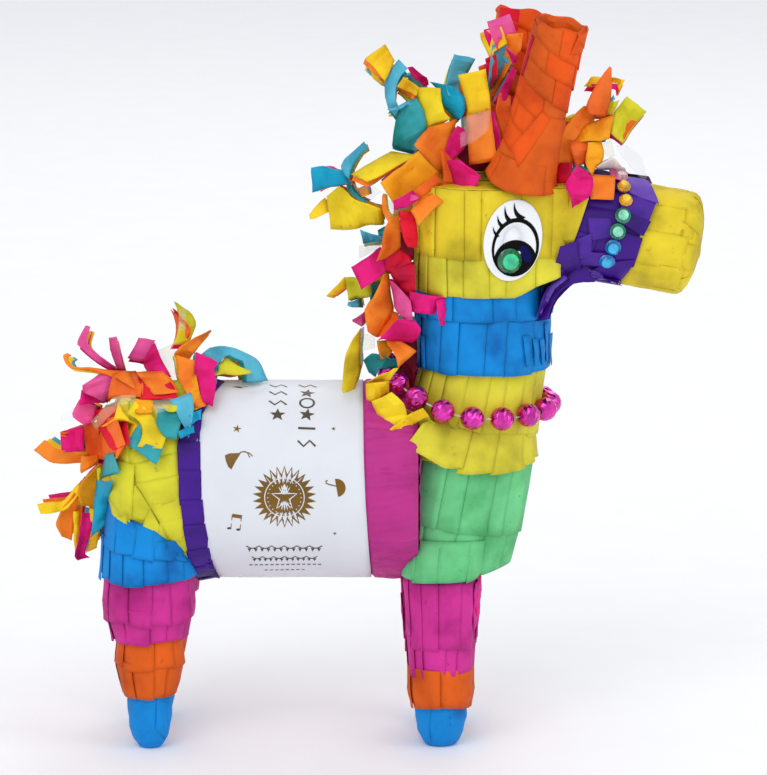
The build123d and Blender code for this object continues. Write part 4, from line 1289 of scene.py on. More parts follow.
ears = (
    ("right", (60.6, -15.5, 224.5), (76.3, -24.0, 291.0),
     [(0, 13.2), (6, 12.2), (14, 11.2), (24, 10.4), (40, 10.0), (70, 9.95)], 1),
    ("left", (57.5, 15.5, 224.5), (63.0, 24.0, 291.5),
     [(0, 13.2), (8, 12.0), (20, 10.9), (40, 10.2), (70, 9.95)], 2),
)
turn_rise = 27.0                          # a wound strip climbs this much per turn, in three starts
for tag, base, tip, stops, seed in ears:
    base, tip = Vector(base), Vector(tip)
    tube = Tube(base, tip - base, (0, -1, 0), line_between(stops))
    long = (tip - base).length
    ear = Piece("ear_tissue_" + tag)
    rng = random.Random(seed * 7)

    def ear_top(a):
        """The rim: a high corner toward the front, lower at the near side."""
        if tag == "right":
            near, corner = cos(radians(a)), cos(radians(a - 84.0))
            return (long + 0.2 + 1.8 * max(0.0, corner) ** 5 + 1.0 * max(0.0, near) ** 2
                    + 1.2 * max(0.0, -near) + 0.5 * sin(radians(5 * a + 30)))
        return long - 1.5 + 1.6 * cos(radians(a + 40)) + 0.7 * sin(radians(4 * a))

    def ear_hem(a):
        return 2.6 + 2.4 * sin(radians(a)) ** 2 + 0.5 * sin(radians(3 * a + 50))

    rows = []
    for i in range(25):
        t = i / 24
        row = []
        for j in range(72):
            a = 5.0 * j
            s = ear_hem(a) + 1.0 + (ear_top(a) - ear_hem(a) - 1.0) * t
            pinch = max(0.0, t - 0.86) * 4.0 * abs(wobble(on_circle(a, 3, seed), 1.6, seed))
            row.append(tube.at(s, a, -0.15 + 0.2 * wobble(tube.at(s, a), 8.0, seed) + pinch))
        rows.append(row)
    # The rim folds inward.
    for dip, shrink in ((0.5, 0.4), (0.2, 0.9), (2.0, 1.9), (9.0, 2.0), (18.0, 2.1)):
        rough = 0.5 if dip < 1 else 0.15
        rows.append([])
        for a in range(0, 360, 5):
            off = -0.15 - shrink + rough * wobble(on_circle(a, 4, dip), 1.5, seed + 4)
            rows[-1].append(tube.at(ear_top(a) - dip, a, off))
    ear.grid(rows[:25], "ear", closed=True)
    ear.grid(rows[24:], "orange", closed=True)
    for start in range(3):                # wound strips with cut edges
        for turn in range(-1, 4):
            a = -180.0
            while a < 180.0:
                wide = rng.uniform(55.0, 120.0)
                wide = min(wide, 180.0 - a + 1.0)
                slip, dip = rng.uniform(-0.5, 0.5), rng.uniform(-0.8, 0.8)
                mat = rng.choice(("ear", "ear", "orange"))

                def wound(t, u):
                    angle = a + (wide + 3.0) * u + 5.0 * (1 - t)
                    level = (6.0 + start * turn_rise / 3 + turn * turn_rise
                             - turn_rise * angle / 360.0)
                    low = level + slip + dip * (u - 0.5)
                    s = low + (turn_rise / 3 + 3.0) * t
                    s = max(ear_hem(angle) + 4.0 * t, min(s, ear_top(angle) - 1.0 + 0.7 * t))
                    rough = 0.12 * wobble(tube.at(s, angle), 5.0, turn + start * 3.0)
                    off = 0.25 + 0.55 * (1 - t) ** 1.5 + 0.25 * (1 - u) + rough
                    return tube.at(s, angle, off)

                grid = lattice(5, 12, wound)
                if grid[5][6].z > grid[0][6].z + 2.0:
                    ear.grid(grid, mat)
                a += wide
    for k in range(4):                    # the spread foot of the tissue over the head

        def skirt(t, u):
            angle = 90.0 * k + 30.0 + 98.0 * u
            s = 15.0 + (ear_hem(angle) - 15.0) * t
            rough = 0.35 * t * wobble(on_circle(angle, 12, k), 5.0, k)
            return tube.at(s, angle, 0.75 + 0.12 * k + 1.5 * t ** 2.5 + rough)

        ear.grid(lattice(7, 19, skirt), "orange")
    low_slips = [
        ("ear", 1.3, [(19.0, -40), (36.5, 2), (34.5, 22), (12.5, -16)]),
        ("orange", 1.1, [(35.0, 14), (33.0, 96), (4.5, 92), (11.0, -22)]),
    ]
    rim_slips = [                         # heights from the ear's top
        ("red", 1.0, [(-5.0, -72), (-5.5, -60), (-22.0, -66), (-22.0, -76)]),
        ("ear", 0.9, [(-0.5, 40), (2.2, 82), (-8.0, 76), (-8.0, 32)]),
    ] if tag == "right" else [
        ("red", 0.9, [(-0.5, -60), (-0.5, -10), (-9.0, -10), (-9.0, -62)]),
    ]
    for mat, lift, q in low_slips + [(mat, lift, [(long + s, a) for s, a in q])
                                     for mat, lift, q in rim_slips]:
        patch(ear, tube, q, mat, lift=lift, rows=10, cols=10, crush=0.15, seed=lift)
    ear.build("body", ["ear_wrap_" + tag])

# ---- necklace --------------------------------------------------------------------------

thread = spline("necklace_line", route, thread_r)
thread.data.materials.append(M["thread"])
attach(thread, "necklace")
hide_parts("necklace_thread")

beads = Piece("necklace_bead_row")
rng = random.Random(29)
bead_r, bead_facets = 4.8, 14
for a, b in zip(route, route[1:]):
    middle = (Vector(a) + Vector(b)) / 2
    pole = (Vector(b) - Vector(a)).normalized()
    side = pole.orthogonal().normalized()
    other = pole.cross(side)
    turn = rng.uniform(0, 1)
    rings = []
    for i in range(10):
        t = radians(9.0 + 162.0 * i / 9)
        rings.append([])
        for j in range(bead_facets):
            a = 2 * pi * (j + turn + 0.5 * (i % 2)) / bead_facets
            across = (side * cos(a) + other * sin(a)) * bead_r * sin(t)
            rings[-1].append(middle + pole * bead_r * cos(t) + across)
    first, last = [p - pole * 0.6 for p in rings[0]], [p + pole * 0.6 for p in rings[-1]]
    beads.grid([first] + rings + [last], "bead", closed=True)
bead_row = beads.build("necklace", ["necklace_beads"], thick=0, smooth=False)

knot = Piece("necklace_tie")
knot_middle = Vector((8.6, 0.0, 151.4))


def knot_line(t):
    """A small overhand knot."""
    return (Vector((sin(t) + 2 * sin(2 * t), cos(t) - 2 * cos(2 * t), -sin(3 * t))) * 0.5
            + knot_middle)


tie_r = 0.42
rows = []
for i in range(61):
    t = 2 * pi * i / 60
    along = (knot_line(t + 0.02) - knot_line(t - 0.02)).normalized()
    side = along.orthogonal().normalized()
    other = along.cross(side)
    rows.append([knot_line(t) + (side * cos(pi * j / 4) + other * sin(pi * j / 4)) * tie_r
                 for j in range(8)])
knot.grid(rows, "thread", closed=True)
tie = knot.build("necklace", ["necklace_knot"], thick=0)

[c * MM for c in route[0]]

# ---- loose tissue and film strips ------------------------------------------------------
# Each strip: paper; then cross lines from end to end, as x, y, z of one edge and x, y, z of the
# other. Or, with evenly changing y: its middle, its step per line and half the strip's depth,
# and then the lines as x, z of one edge and x, z of the other.

strips = {
    "topknot": [
        ("gold", (-6.0, 1.0, 2.6), (0.1, 275.9, 7.9, 280.8), (4.0, 271.3, 9.8, 277.5),
         (7.9, 266.8, 11.7, 274.2)),
        ("tangerine", (-3.0, 0.0, -0.9), (-0.9, 272.8, 0.1, 274.9), (3.2, 269.2, 4.0, 270.8),
         (7.2, 266.2, 7.8, 266.9)),
        ("sky", (-8.0, 0.6, -1.8), (13.3, 275.2, 16.8, 271.9), (10.1, 271.0, 14.0, 268.9),
         (7.8, 265.8, 12.3, 265.0), (7.9, 260.3, 12.0, 259.8), (9.6, 255.4, 13.0, 257.3),
         (12.3, 251.8, 13.3, 255.2)),
        ("magenta", (-3.0, 0.0, -0.7), (16.7, 271.3, 18.8, 271.8), (18.8, 267.5, 22.2, 269.1),
         (21.5, 266.1, 24.9, 267.3), (23.2, 263.7, 25.2, 264.3)),
        ("sky", (-1.0, 0.0, 1.1), (15.0, 268.8, 17.4, 269.2), (18.1, 266.1, 20.8, 265.7)),
        ("gold", (-9.0, 0.0, 1.4), (15.2, 269.0, 12.5, 264.8), (18.1, 266.6, 16.0, 262.8),
         (21.4, 264.6, 20.1, 260.7)),
        ("tangerine", (-5.0, 0.0, -0.6), (12.7, 264.0, 16.1, 263.2), (16.1, 260.6, 19.4, 261.8),
         (18.4, 258.9, 19.4, 260.4)),
        ("yellow", (-10.0, 0.33, -2.6), (19.8, 263.8, 29.7, 264.6), (21.1, 257.9, 30.1, 259.4),
         (22.8, 252.4, 31.3, 255.3), (24.2, 247.4, 33.6, 252.5)),
        ("cyan", (-5.0, 0.0, -2.6), (25.6, 265.4, 33.7, 264.9), (29.7, 261.3, 39.1, 260.8),
         (31.0, 255.8, 39.4, 255.3), (36.1, 250.3, 37.8, 251.8)),
        ("teal", (-5.96, -0.26, 2.59), (20.1, 260.2, 14.7, 256.0), (23.2, 254.8, 12.0, 250.5),
         (24.1, 248.7, 10.6, 240.3), (22.2, 243.9, 15.4, 238.9), (20.1, 238.5, 18.8, 237.9)),
        ("sky", (-7.0, 0.0, -0.5), (9.3, 255.8, 8.6, 255.3), (14.7, 257.5, 13.3, 255.3),
         (19.8, 259.6, 18.1, 257.3)),
        ("sky", (-7.0, 0.67, 1.62), (35.1, 277.8, 43.5, 275.5), (33.3, 271.7, 40.5, 269.9),
         (31.8, 264.8, 37.1, 264.3), (33.0, 260.6, 37.8, 260.1)),
        ("gold", (-14.0, 0.67, -2.6), (36.6, 269.7, 47.3, 273.1), (38.3, 264.0, 48.0, 267.5),
         (39.7, 259.1, 48.9, 261.9), (40.8, 253.6, 49.5, 256.4)),
        ("film", (-15.0, 0.0, -2.6), (37.3, 252.6, 49.4, 256.8), (37.4, 247.1, 48.1, 248.6),
         (37.7, 241.0, 41.7, 243.9)),
        ("tangerine", (-13.0, 0.0, -2.6), (40.1, 255.0, 49.4, 256.9), (40.4, 244.8, 50.6, 247.0),
         (41.2, 233.9, 51.9, 236.7)),
        ("magenta", (-14.0, 0.0, -0.9), (49.5, 256.1, 50.5, 255.7), (50.9, 246.6, 52.9, 247.5),
         (52.3, 237.7, 53.9, 238.6)),
        ("rose", (0.0, -0.67, 2.33), (48.0, 289.6, 57.0, 292.0), (48.9, 286.0, 59.7, 284.8),
         (50.9, 281.4, 54.1, 281.4), (52.3, 278.0, 53.4, 278.1)),
        ("tangerine", (0.0, -0.67, -2.6), (53.1, 284.1, 62.1, 285.2), (52.4, 277.1, 61.5, 278.6),
         (51.4, 269.0, 58.1, 273.9), (50.8, 262.2, 54.7, 267.8)),
        ("magenta", (-4.0, 0.0, -1.4), (55.0, 279.8, 60.1, 276.1), (57.1, 275.7, 59.4, 273.4),
         (58.1, 273.0, 59.1, 273.1)),
        ("red", (-3.0, 0.0, -2.2), (47.3, 274.5, 51.6, 277.1), (48.0, 270.7, 52.3, 272.7),
         (49.4, 263.1, 52.0, 268.6)),
        ("magenta", (-4.0, -0.5, 0.8), (58.1, 272.0, 59.8, 270.3), (54.7, 265.9, 58.1, 265.6),
         (50.6, 257.7, 54.8, 256.1)),
        ("flame", (-6.0, -1.33, 2.03), (53.0, 262.2, 57.5, 260.2), (51.3, 255.6, 57.5, 250.8),
         (54.0, 247.5, 58.2, 240.7), (54.7, 238.2, 57.5, 234.7)),
        ("red", (2.0, -1.0, -2.6), (50.2, 258.9, 61.0, 259.7), (49.5, 245.3, 61.0, 244.7),
         (47.5, 231.6, 61.1, 232.5)),
        ("magenta", (-11.0, -0.33, 1.1), (36.3, 249.8, 40.4, 247.4), (33.0, 245.1, 39.8, 241.3),
         (31.3, 238.3, 35.0, 235.9), (32.3, 235.9, 33.7, 235.6)),
        ("magenta", (-16.0, -1.33, -2.6), (32.3, 236.3, 37.6, 237.2), (33.6, 231.8, 45.4, 230.9),
         (35.0, 226.5, 43.7, 227.4), (39.7, 221.9, 41.3, 222.5)),
        ("amber", (-18.0, 2.0, 2.0), (5.9, 228.3, 11.8, 218.1), (14.6, 234.7, 20.9, 224.5),
         (20.9, 240.8, 29.6, 230.5)),
        ("tangerine", (-14.0, 2.0, 2.6), (19.3, 242.5, 30.4, 229.6), (23.2, 247.7, 33.5, 241.7),
         (24.8, 249.4, 36.3, 251.7)),
        ("flame", (-12.0, 0.0, 2.6), (29.5, 240.5, 37.5, 235.7), (31.1, 230.2, 41.4, 228.5),
         (28.0, 222.2, 34.4, 219.7)),
        ("yellow", (-12.0, 1.0, -2.4), (-5.5, 230.1, 0.9, 227.7), (2.5, 234.6, 10.2, 232.5),
         (10.2, 238.7, 20.6, 238.0)),
        ("tangerine", (-11.0, 0.33, -0.33), (-5.3, 227.8, -4.7, 229.7), (1.1, 225.3, 1.1, 227.2),
         (8.6, 229.9, 7.8, 230.9), (16.2, 234.2, 15.8, 235.3)),
        ("sky", (-8.0, 0.0, -1.7), (-0.3, 242.8, 0.7, 240.9), (-3.9, 239.5, -1.9, 238.4),
         (-7.9, 235.4, -4.3, 234.6), (-9.4, 232.6, -5.7, 231.5), (-8.6, 229.7, -6.3, 228.2)),
        ("teal", (-8.01, -0.33, 0.78), (-7.3, 225.6, -5.5, 225.8), (-6.3, 222.4, -4.5, 223.0),
         (-3.1, 219.8, -2.1, 220.6), (0.5, 218.7, 1.1, 219.1)),
        ("cyan", (-9.0, 1.0, -2.6), (-21.3, 232.0, -20.7, 222.7), (-16.0, 232.5, -15.6, 224.3),
         (-12.4, 231.2, -11.8, 225.2), (-8.8, 230.9, -5.5, 226.2)),
        ("yellow", (-10.0, 0.5, 2.6), (-15.1, 221.4, -13.6, 207.2), (-9.9, 225.8, -8.8, 207.0),
         (-4.7, 220.8, -3.1, 208.0), (0.9, 218.7, 1.7, 209.4), (6.4, 216.6, 7.4, 208.9)),
        ("gold", (-7.0, 0.0, -1.7), (-15.6, 219.9, -14.0, 214.8), (-18.5, 217.7, -17.0, 213.6),
         (-20.9, 214.8, -20.1, 212.1), (-22.2, 212.6, -21.7, 211.6)),
        ("film", (-9.0, 0.0, -2.2), (-4.7, 225.3, -0.7, 226.5), (-1.5, 220.4, 3.3, 225.7),
         (2.5, 218.8, 6.6, 222.8)),
        ("amber", (-8.0, 0.0, -0.8), (-3.1, 224.2, 0.9, 225.2), (-1.5, 220.5, 1.7, 221.6)),
        ("tangerine", (-13.0, -0.5, -0.9), (6.8, 222.1, 8.2, 222.0), (6.6, 218.1, 8.4, 218.4),
         (7.2, 214.1, 9.0, 215.3), (9.2, 211.6, 10.8, 213.5), (11.4, 211.9, 12.4, 213.4)),
        ("pale_film", (-11.0, 0.0, 1.5), (7.8, 221.4, 12.6, 217.6), (9.4, 214.0, 13.0, 213.5)),
        # A dark red sheet deep in the bunch: painted shade.
        ("deep", (-6.0, -0.5, 0.0), (34.8, 239.5, 34.4, 229.7), (40.4, 241.6, 41.2, 231.0),
         (49.2, 238.8, 48.5, 231.1)),
    ],
    "mane": [
        ("sky", (-8.0, 0.0, 2.2), (-1.9, 207.9, -0.8, 201.6), (1.7, 206.2, 2.1, 202.2),
         (7.6, 205.2, 7.4, 202.8)),
        ("teal", (-4.0, 0.0, -1.2), (4.9, 206.2, 8.2, 208.2), (5.3, 204.1, 8.2, 204.1)),
        ("pale_film", (-6.0, 0.0, 2.2), (-2.5, 200.8, -2.6, 194.4), (1.7, 202.4, 2.5, 197.7),
         (6.0, 203.2, 6.0, 199.3)),
        ("magenta", (-14.0, 0.67, -2.6), (-5.6, 192.9, -1.5, 185.1), (-2.7, 194.9, 2.5, 187.6),
         (2.5, 198.0, 6.2, 190.0), (6.2, 200.6, 9.4, 193.1)),
        ("red", (-13.0, -2.0, -1.6), (7.8, 197.5, 8.6, 191.9), (13.8, 200.3, 14.6, 193.5),
         (18.2, 197.4, 19.0, 191.0)),
        ("tangerine", (-16.0, -0.25, 2.6), (9.8, 213.9, 13.6, 214.2), (7.8, 209.5, 13.8, 207.7),
         (6.6, 204.6, 14.0, 203.7), (6.6, 202.2, 14.0, 200.4), (4.4, 196.9, 7.8, 197.2)),
        ("red", (-20.0, 0.0, 1.5), (13.4, 217.3, 18.2, 216.7), (13.8, 213.2, 20.2, 212.6),
         (14.6, 207.1, 21.0, 206.5), (16.6, 203.4, 20.6, 202.2)),
        # A dark red sheet deep in the mane: painted shade.
        ("deep", (-12.0, 0.0, 0.0), (13.0, 207.4, 19.5, 205.4), (13.0, 196.7, 19.1, 196.3)),
        ("magenta", (-21.0, 0.0, 1.2), (11.2, 221.4, 11.2, 217.4), (15.0, 223.7, 16.2, 218.6),
         (18.8, 225.5, 21.6, 221.8)),
        ("rose", (-21.8, 0.0, -1.2), (15.8, 223.4, 17.8, 221.6), (19.0, 225.0, 21.4, 222.8)),
        ("flame", (-20.0, 0.0, 1.9), (19.0, 225.5, 21.8, 221.7), (24.2, 229.5, 27.4, 226.0),
         (27.8, 232.3, 30.6, 227.2)),
        ("tangerine", (-23.0, 0.5, -2.5), (18.1, 217.5, 21.2, 212.6), (21.0, 221.1, 24.6, 216.2),
         (26.6, 224.2, 30.6, 221.8)),
        ("red", (-18.0, -0.5, -2.6), (9.8, 192.1, 17.0, 198.8), (12.2, 187.6, 19.4, 192.7),
         (15.4, 183.6, 19.8, 185.5)),
        ("lime", (-8.0, -0.5, 1.5), (-8.3, 188.5, -6.6, 178.5), (-3.4, 188.4, -2.5, 179.7),
         (2.1, 186.5, 2.8, 180.6)),
        ("gold", (-8.0, 0.0, 0.9), (-15.5, 180.6, -13.3, 179.9), (-11.6, 185.0, -10.7, 182.4),
         (-8.3, 188.7, -7.6, 184.4)),
        ("sky", (-7.0, 0.0, 1.2), (-6.8, 178.3, -7.0, 176.1), (-2.0, 179.7, -1.3, 175.8)),
        ("teal", (-7.0, 0.0, -1.1), (2.3, 185.7, 1.9, 179.2), (6.4, 185.4, 3.3, 180.1)),
        ("lime", (-6.0, 0.0, -2.0), (2.8, 186.0, 7.1, 189.5), (4.7, 184.8, 7.6, 186.1)),
        ("tangerine", (-15.0, 0.2, 2.6), (7.4, 191.8, 9.3, 190.6), (5.2, 185.9, 10.2, 182.0),
         (2.8, 181.0, 11.3, 176.6), (-0.3, 177.0, 11.0, 174.1), (0.4, 171.6, 8.6, 170.6),
         (1.1, 167.9, 4.5, 164.8)),
        ("flame", (-14.0, 0.0, -2.6), (10.5, 175.0, 13.3, 174.0), (7.6, 170.1, 13.3, 172.3),
         (4.9, 164.7, 9.5, 167.7)),
        ("rose", (-18.0, -0.33, -2.42), (9.5, 188.5, 10.7, 188.9), (10.9, 182.7, 15.2, 184.6),
         (11.7, 177.4, 18.3, 180.8), (15.3, 173.1, 18.8, 173.7)),
        ("magenta", (-23.0, 0.5, 1.5), (17.6, 185.6, 17.6, 177.0), (25.2, 184.2, 24.8, 176.1),
         (31.9, 183.3, 27.9, 175.3)),
        ("magenta", (-23.0, -0.25, 1.12), (27.9, 182.3, 32.0, 183.0), (28.6, 176.1, 32.3, 176.6),
         (29.6, 172.0, 32.9, 171.8)),
        ("red", (-18.0, -1.0, -2.6), (9.0, 193.8, 19.5, 196.2), (11.9, 188.1, 20.0, 189.1),
         (15.3, 181.0, 20.0, 178.6)),
        ("magenta", (-18.0, -0.25, 1.82), (4.7, 165.3, 6.2, 165.6), (9.0, 169.4, 11.0, 164.2),
         (13.3, 173.9, 15.3, 163.8), (19.6, 173.4, 19.1, 163.3), (22.2, 170.0, 20.8, 165.8)),
        ("tangerine", (-19.0, 0.0, -2.6), (8.3, 164.7, 9.0, 164.1), (12.9, 164.4, 10.9, 160.9),
         (16.7, 162.8, 12.4, 158.4), (20.5, 160.3, 13.2, 154.5)),
        ("amber", (-12.0, 0.0, 2.0), (4.6, 163.6, 9.0, 163.2), (5.1, 160.3, 11.0, 159.0),
         (5.9, 157.1, 9.8, 156.5), (7.4, 156.0, 9.0, 155.7)),
        ("rose", (-8.0, 0.0, 1.6), (-5.2, 170.9, -4.9, 170.0), (-1.3, 174.1, -1.3, 168.1),
         (-0.1, 175.1, 0.1, 169.6)),
        ("yellow", (-11.0, -0.2, 2.0), (-2.3, 167.7, -1.6, 167.1), (-5.6, 163.1, -1.8, 162.3),
         (-7.8, 158.4, -2.0, 157.9), (-8.5, 153.3, -1.9, 151.5), (-9.2, 144.0, -3.7, 144.7),
         (-7.1, 138.6, -6.4, 137.7)),
        ("film", (-10.0, -0.5, -0.7), (-1.8, 168.2, 0.6, 171.4), (-2.0, 161.4, 0.1, 162.2),
         (-2.4, 154.1, -1.0, 153.4)),
        ("pale_film", (-9.0, 0.0, -1.5), (-0.1, 165.9, 4.0, 165.0), (-0.4, 158.7, 4.0, 159.8)),
        ("teal", (-13.0, -0.33, 2.43), (-0.7, 156.2, 1.3, 150.5), (3.3, 159.1, 4.2, 148.3),
         (7.1, 157.8, 9.0, 151.1), (12.6, 156.9, 13.1, 152.9)),
        # Red tissue beside the necklace, darkened as painted shade.
        ("deep", (-12.0, -2.0, 0.0), (11.9, 164.8, 20.6, 165.8), (12.9, 152.4, 20.6, 154.9),
         (11.0, 145.5, 18.7, 148.0)),
        ("deep", (-10.0, 0.0, 0.0), (13.6, 153.1, 20.6, 155.1), (12.9, 148.7, 20.1, 149.1),
         (11.9, 143.7, 19.2, 142.7)),
        ("gold", (-20.0, -1.0, 1.3), (0.2, 148.1, 0.6, 139.8), (5.2, 149.0, 4.7, 141.4),
         (9.7, 149.2, 11.5, 145.1)),
        ("gold", (-19.0, -1.0, 1.7), (0.4, 148.7, 1.3, 147.3), (6.2, 151.9, 10.0, 148.2),
         (13.4, 154.2, 11.4, 149.1)),
        ("yellow", (-27.0, -0.67, -2.6), (2.6, 141.9, 10.5, 146.7), (4.0, 138.1, 15.2, 142.2),
         (5.7, 134.6, 16.7, 137.2), (9.0, 131.1, 16.7, 136.4)),
        ("gold", (-30.02, -0.32, 1.52), (9.7, 131.7, 13.7, 128.3), (12.8, 134.5, 17.2, 131.3),
         (18.6, 138.4, 21.9, 134.8), (22.9, 140.7, 25.3, 136.6)),
        ("olive", (16.0, -33.6, 125.3, 22.9, -28.4, 133.7),
         (23.8, -33.1, 120.3, 30.5, -25.5, 134.4), (31.0, -31.6, 116.2, 36.0, -23.0, 133.0),
         (38.5, -27.0, 114.6, 41.0, -22.5, 130.0)),
        ("olive", (-24.0, -0.33, 2.6), (15.3, 139.2, 15.8, 132.9), (20.5, 138.5, 20.1, 129.5),
         (25.3, 138.1, 24.4, 128.1), (29.4, 136.2, 28.7, 128.7)),
    ],
    "forelock": [
        ("flame", (-5.96, -0.26, 2.59), (96.2, 272.7, 97.1, 271.5), (93.6, 269.3, 97.3, 267.8),
         (91.0, 265.5, 97.3, 263.6), (86.9, 258.0, 97.1, 258.9), (87.7, 254.2, 95.1, 252.5)),
        ("tangerine", (-8.0, -1.25, 2.58), (86.1, 257.5, 91.6, 254.3), (82.7, 254.2, 90.1, 250.7),
         (77.5, 247.9, 87.1, 249.0), (75.9, 243.6, 82.2, 243.1), (73.7, 234.6, 82.2, 233.4)),
        ("amber", (-10.0, 0.33, -2.5), (80.8, 242.4, 81.8, 243.0), (86.7, 249.3, 87.9, 243.7),
         (93.1, 251.7, 93.0, 244.0), (98.3, 253.4, 96.2, 244.2)),
        ("flame", (-13.0, 0.0, 1.9), (80.6, 243.8, 88.1, 243.6), (81.4, 239.5, 87.4, 239.2),
         (82.8, 233.9, 86.7, 234.1)),
        ("amber", (-11.02, -0.32, 2.12), (87.7, 243.4, 93.3, 243.1), (87.1, 238.8, 94.3, 238.9),
         (86.6, 234.5, 93.9, 235.1), (89.4, 230.0, 91.3, 232.9)),
        ("lime", (-3.0, -0.33, 2.6), (103.1, 260.5, 111.3, 253.7), (100.5, 257.1, 107.0, 248.2),
         (98.2, 253.3, 103.5, 242.6), (97.0, 245.7, 101.8, 241.1)),
        ("gold", (-1.0, 0.0, 1.8), (86.2, 264.0, 89.3, 267.1), (89.4, 263.6, 91.8, 267.0),
         (92.4, 264.2, 93.7, 266.9)),
        ("gold", (-1.0, 0.0, 0.6), (97.0, 267.1, 97.2, 264.8), (100.0, 266.9, 99.7, 264.2),
         (102.5, 266.5, 100.1, 261.6)),
        ("lime", (-8.0, 0.0, -2.4), (95.0, 252.8, 96.3, 258.9), (97.9, 253.8, 100.0, 259.7)),
        ("sky", (-7.0, 0.0, 1.6), (96.2, 257.9, 97.7, 260.6), (98.6, 259.6, 97.9, 260.9)),
        ("pale_film", (-9.0, 0.0, 1.4), (93.0, 242.5, 97.3, 243.6), (94.6, 238.3, 98.1, 238.7),
         (95.7, 236.8, 98.5, 236.7)),
        ("film", (-5.0, -0.67, -1.2), (99.0, 240.7, 103.1, 241.1), (101.7, 235.8, 106.8, 238.5),
         (105.5, 231.4, 109.8, 235.2), (110.0, 226.3, 111.4, 228.0)),
        ("white_tissue", (-9.0, 0.0, 2.3), (91.2, 233.3, 91.8, 231.6), (97.8, 236.8, 95.6, 231.2),
         (101.2, 233.5, 100.5, 231.6)),
        ("magenta", (-25.0, 0.0, 2.6), (83.0, 235.9, 86.6, 233.5), (79.7, 231.3, 89.3, 231.0),
         (78.3, 227.7, 89.7, 227.0), (80.4, 224.1, 88.0, 222.8), (81.2, 219.3, 83.7, 220.4)),
        ("red", (-16.0, -0.5, -2.6), (73.8, 235.0, 81.5, 235.9), (74.2, 230.1, 81.1, 232.2),
         (75.3, 227.2, 80.0, 228.4)),
        ("lime", (2.0, 0.0, 1.1), (78.3, 250.3, 82.9, 252.2), (77.4, 246.1, 81.8, 249.2)),
    ],
    "tail": [
        ("lime", (0.0, -0.25, 1.62), (-76.2, 177.2, -75.0, 176.2), (-75.0, 174.1, -69.7, 172.0),
         (-73.9, 169.1, -67.2, 167.7), (-75.0, 163.3, -69.0, 163.4), (-76.8, 160.1, -71.6, 159.8)),
        ("film", (-3.0, 0.0, 1.3), (-73.7, 174.6, -71.3, 174.1), (-74.9, 165.9, -71.4, 165.4)),
        ("pale_film", (-83.4, 2.5, 156.5, -76.5, -0.5, 159.7),
         (-81.0, 2.5, 150.7, -75.1, -0.5, 152.8), (-77.0, -7.3, 146.9, -74.3, -5.3, 147.2)),
        ("tangerine", (-6.0, -0.25, 2.02), (-61.8, 166.9, -61.1, 165.8),
         (-67.3, 164.4, -64.9, 161.5), (-73.3, 160.9, -68.2, 157.2), (-76.0, 157.4, -70.7, 153.3),
         (-74.1, 151.6, -69.6, 150.0)),
        ("sky", (-65.1, -4.3, 156.8, -58.3, -7.7, 153.4), (-62.1, -4.6, 159.3, -57.0, -8.0, 154.7),
         (-57.1, -5.0, 160.4, -54.5, -8.4, 157.3), (-50.4, -5.3, 158.5, -50.3, -8.7, 155.2),
         (-42.9, -5.6, 154.5, -48.6, -9.0, 154.2), (-40.6, -6.0, 150.3, -47.8, -9.4, 150.6),
         (-38.7, -6.3, 145.7, -47.1, -10.5, 146.3)),
        ("sky", (-11.0, 0.0, -1.0), (-59.1, 154.7, -58.0, 154.0), (-61.4, 147.5, -59.1, 146.1)),
        ("lime", (-9.01, -0.33, -1.78), (-60.7, 149.6, -59.5, 149.2), (-55.6, 155.5, -55.6, 149.5),
         (-51.0, 152.5, -51.3, 149.2), (-45.5, 150.7, -45.1, 150.7)),
        ("magenta", (-67.1, -14.0, 159.3, -58.1, -18.0, 155.8),
         (-67.8, -14.7, 152.8, -59.9, -18.6, 152.5), (-67.1, -15.4, 147.1, -59.0, -19.3, 148.0),
         (-63.7, -23.7, 140.6, -60.1, -25.2, 139.7)),
        ("tangerine", (-75.4, -10.4, 157.0, -67.1, -13.6, 155.5),
         (-74.4, -11.1, 148.4, -67.9, -14.2, 148.4), (-71.0, -17.8, 144.0, -66.0, -16.8, 144.6),
         (-67.5, -25.5, 139.6, -63.0, -25.0, 139.8)),
        ("amber", (-70.5, -11.9, 147.9, -67.2, -14.1, 150.5),
         (-68.7, -21.1, 142.6, -65.3, -19.1, 143.6), (-67.5, -27.4, 138.2, -62.6, -25.6, 139.6)),
        ("rose", (-4.0, 0.0, -1.8), (-95.0, 154.6, -88.4, 153.7), (-92.5, 158.6, -86.1, 156.8),
         (-90.3, 162.5, -83.6, 162.2)),
        ("magenta", (-87.6, -8.1, 155.8, -83.8, -3.9, 161.5),
         (-88.3, -9.1, 152.3, -81.0, -4.9, 153.7), (-83.3, -10.1, 148.2, -77.0, -7.3, 147.6)),
        ("rose", (-2.0, -0.5, -1.3), (-102.3, 162.6, -99.1, 163.5), (-101.8, 157.3, -97.9, 158.5),
         (-99.3, 150.5, -96.1, 150.6)),
        ("rose", (-3.0, -0.2, -1.1), (-111.6, 167.3, -109.5, 167.4),
         (-113.8, 163.3, -111.0, 163.0), (-115.1, 160.0, -111.0, 161.2),
         (-111.3, 156.7, -109.1, 159.1), (-106.4, 152.9, -104.8, 155.1),
         (-102.1, 150.2, -98.8, 151.4)),
        ("tangerine", (-117.0, -5.3, 155.6, -118.7, -4.7, 156.7),
         (-118.5, -5.3, 154.6, -120.6, -4.7, 155.7), (-117.9, -5.3, 153.0, -119.7, -4.7, 153.0),
         (-115.9, -5.3, 151.6, -117.0, -4.7, 150.6), (-109.1, -5.3, 151.6, -108.5, -4.7, 149.8),
         (-100.6, -5.3, 150.3, -99.5, -7.0, 147.9), (-93.5, -5.3, 149.8, -90.8, -17.5, 144.7)),
        ("flame", (-100.4, -9.6, 149.9, -91.4, -4.4, 149.6),
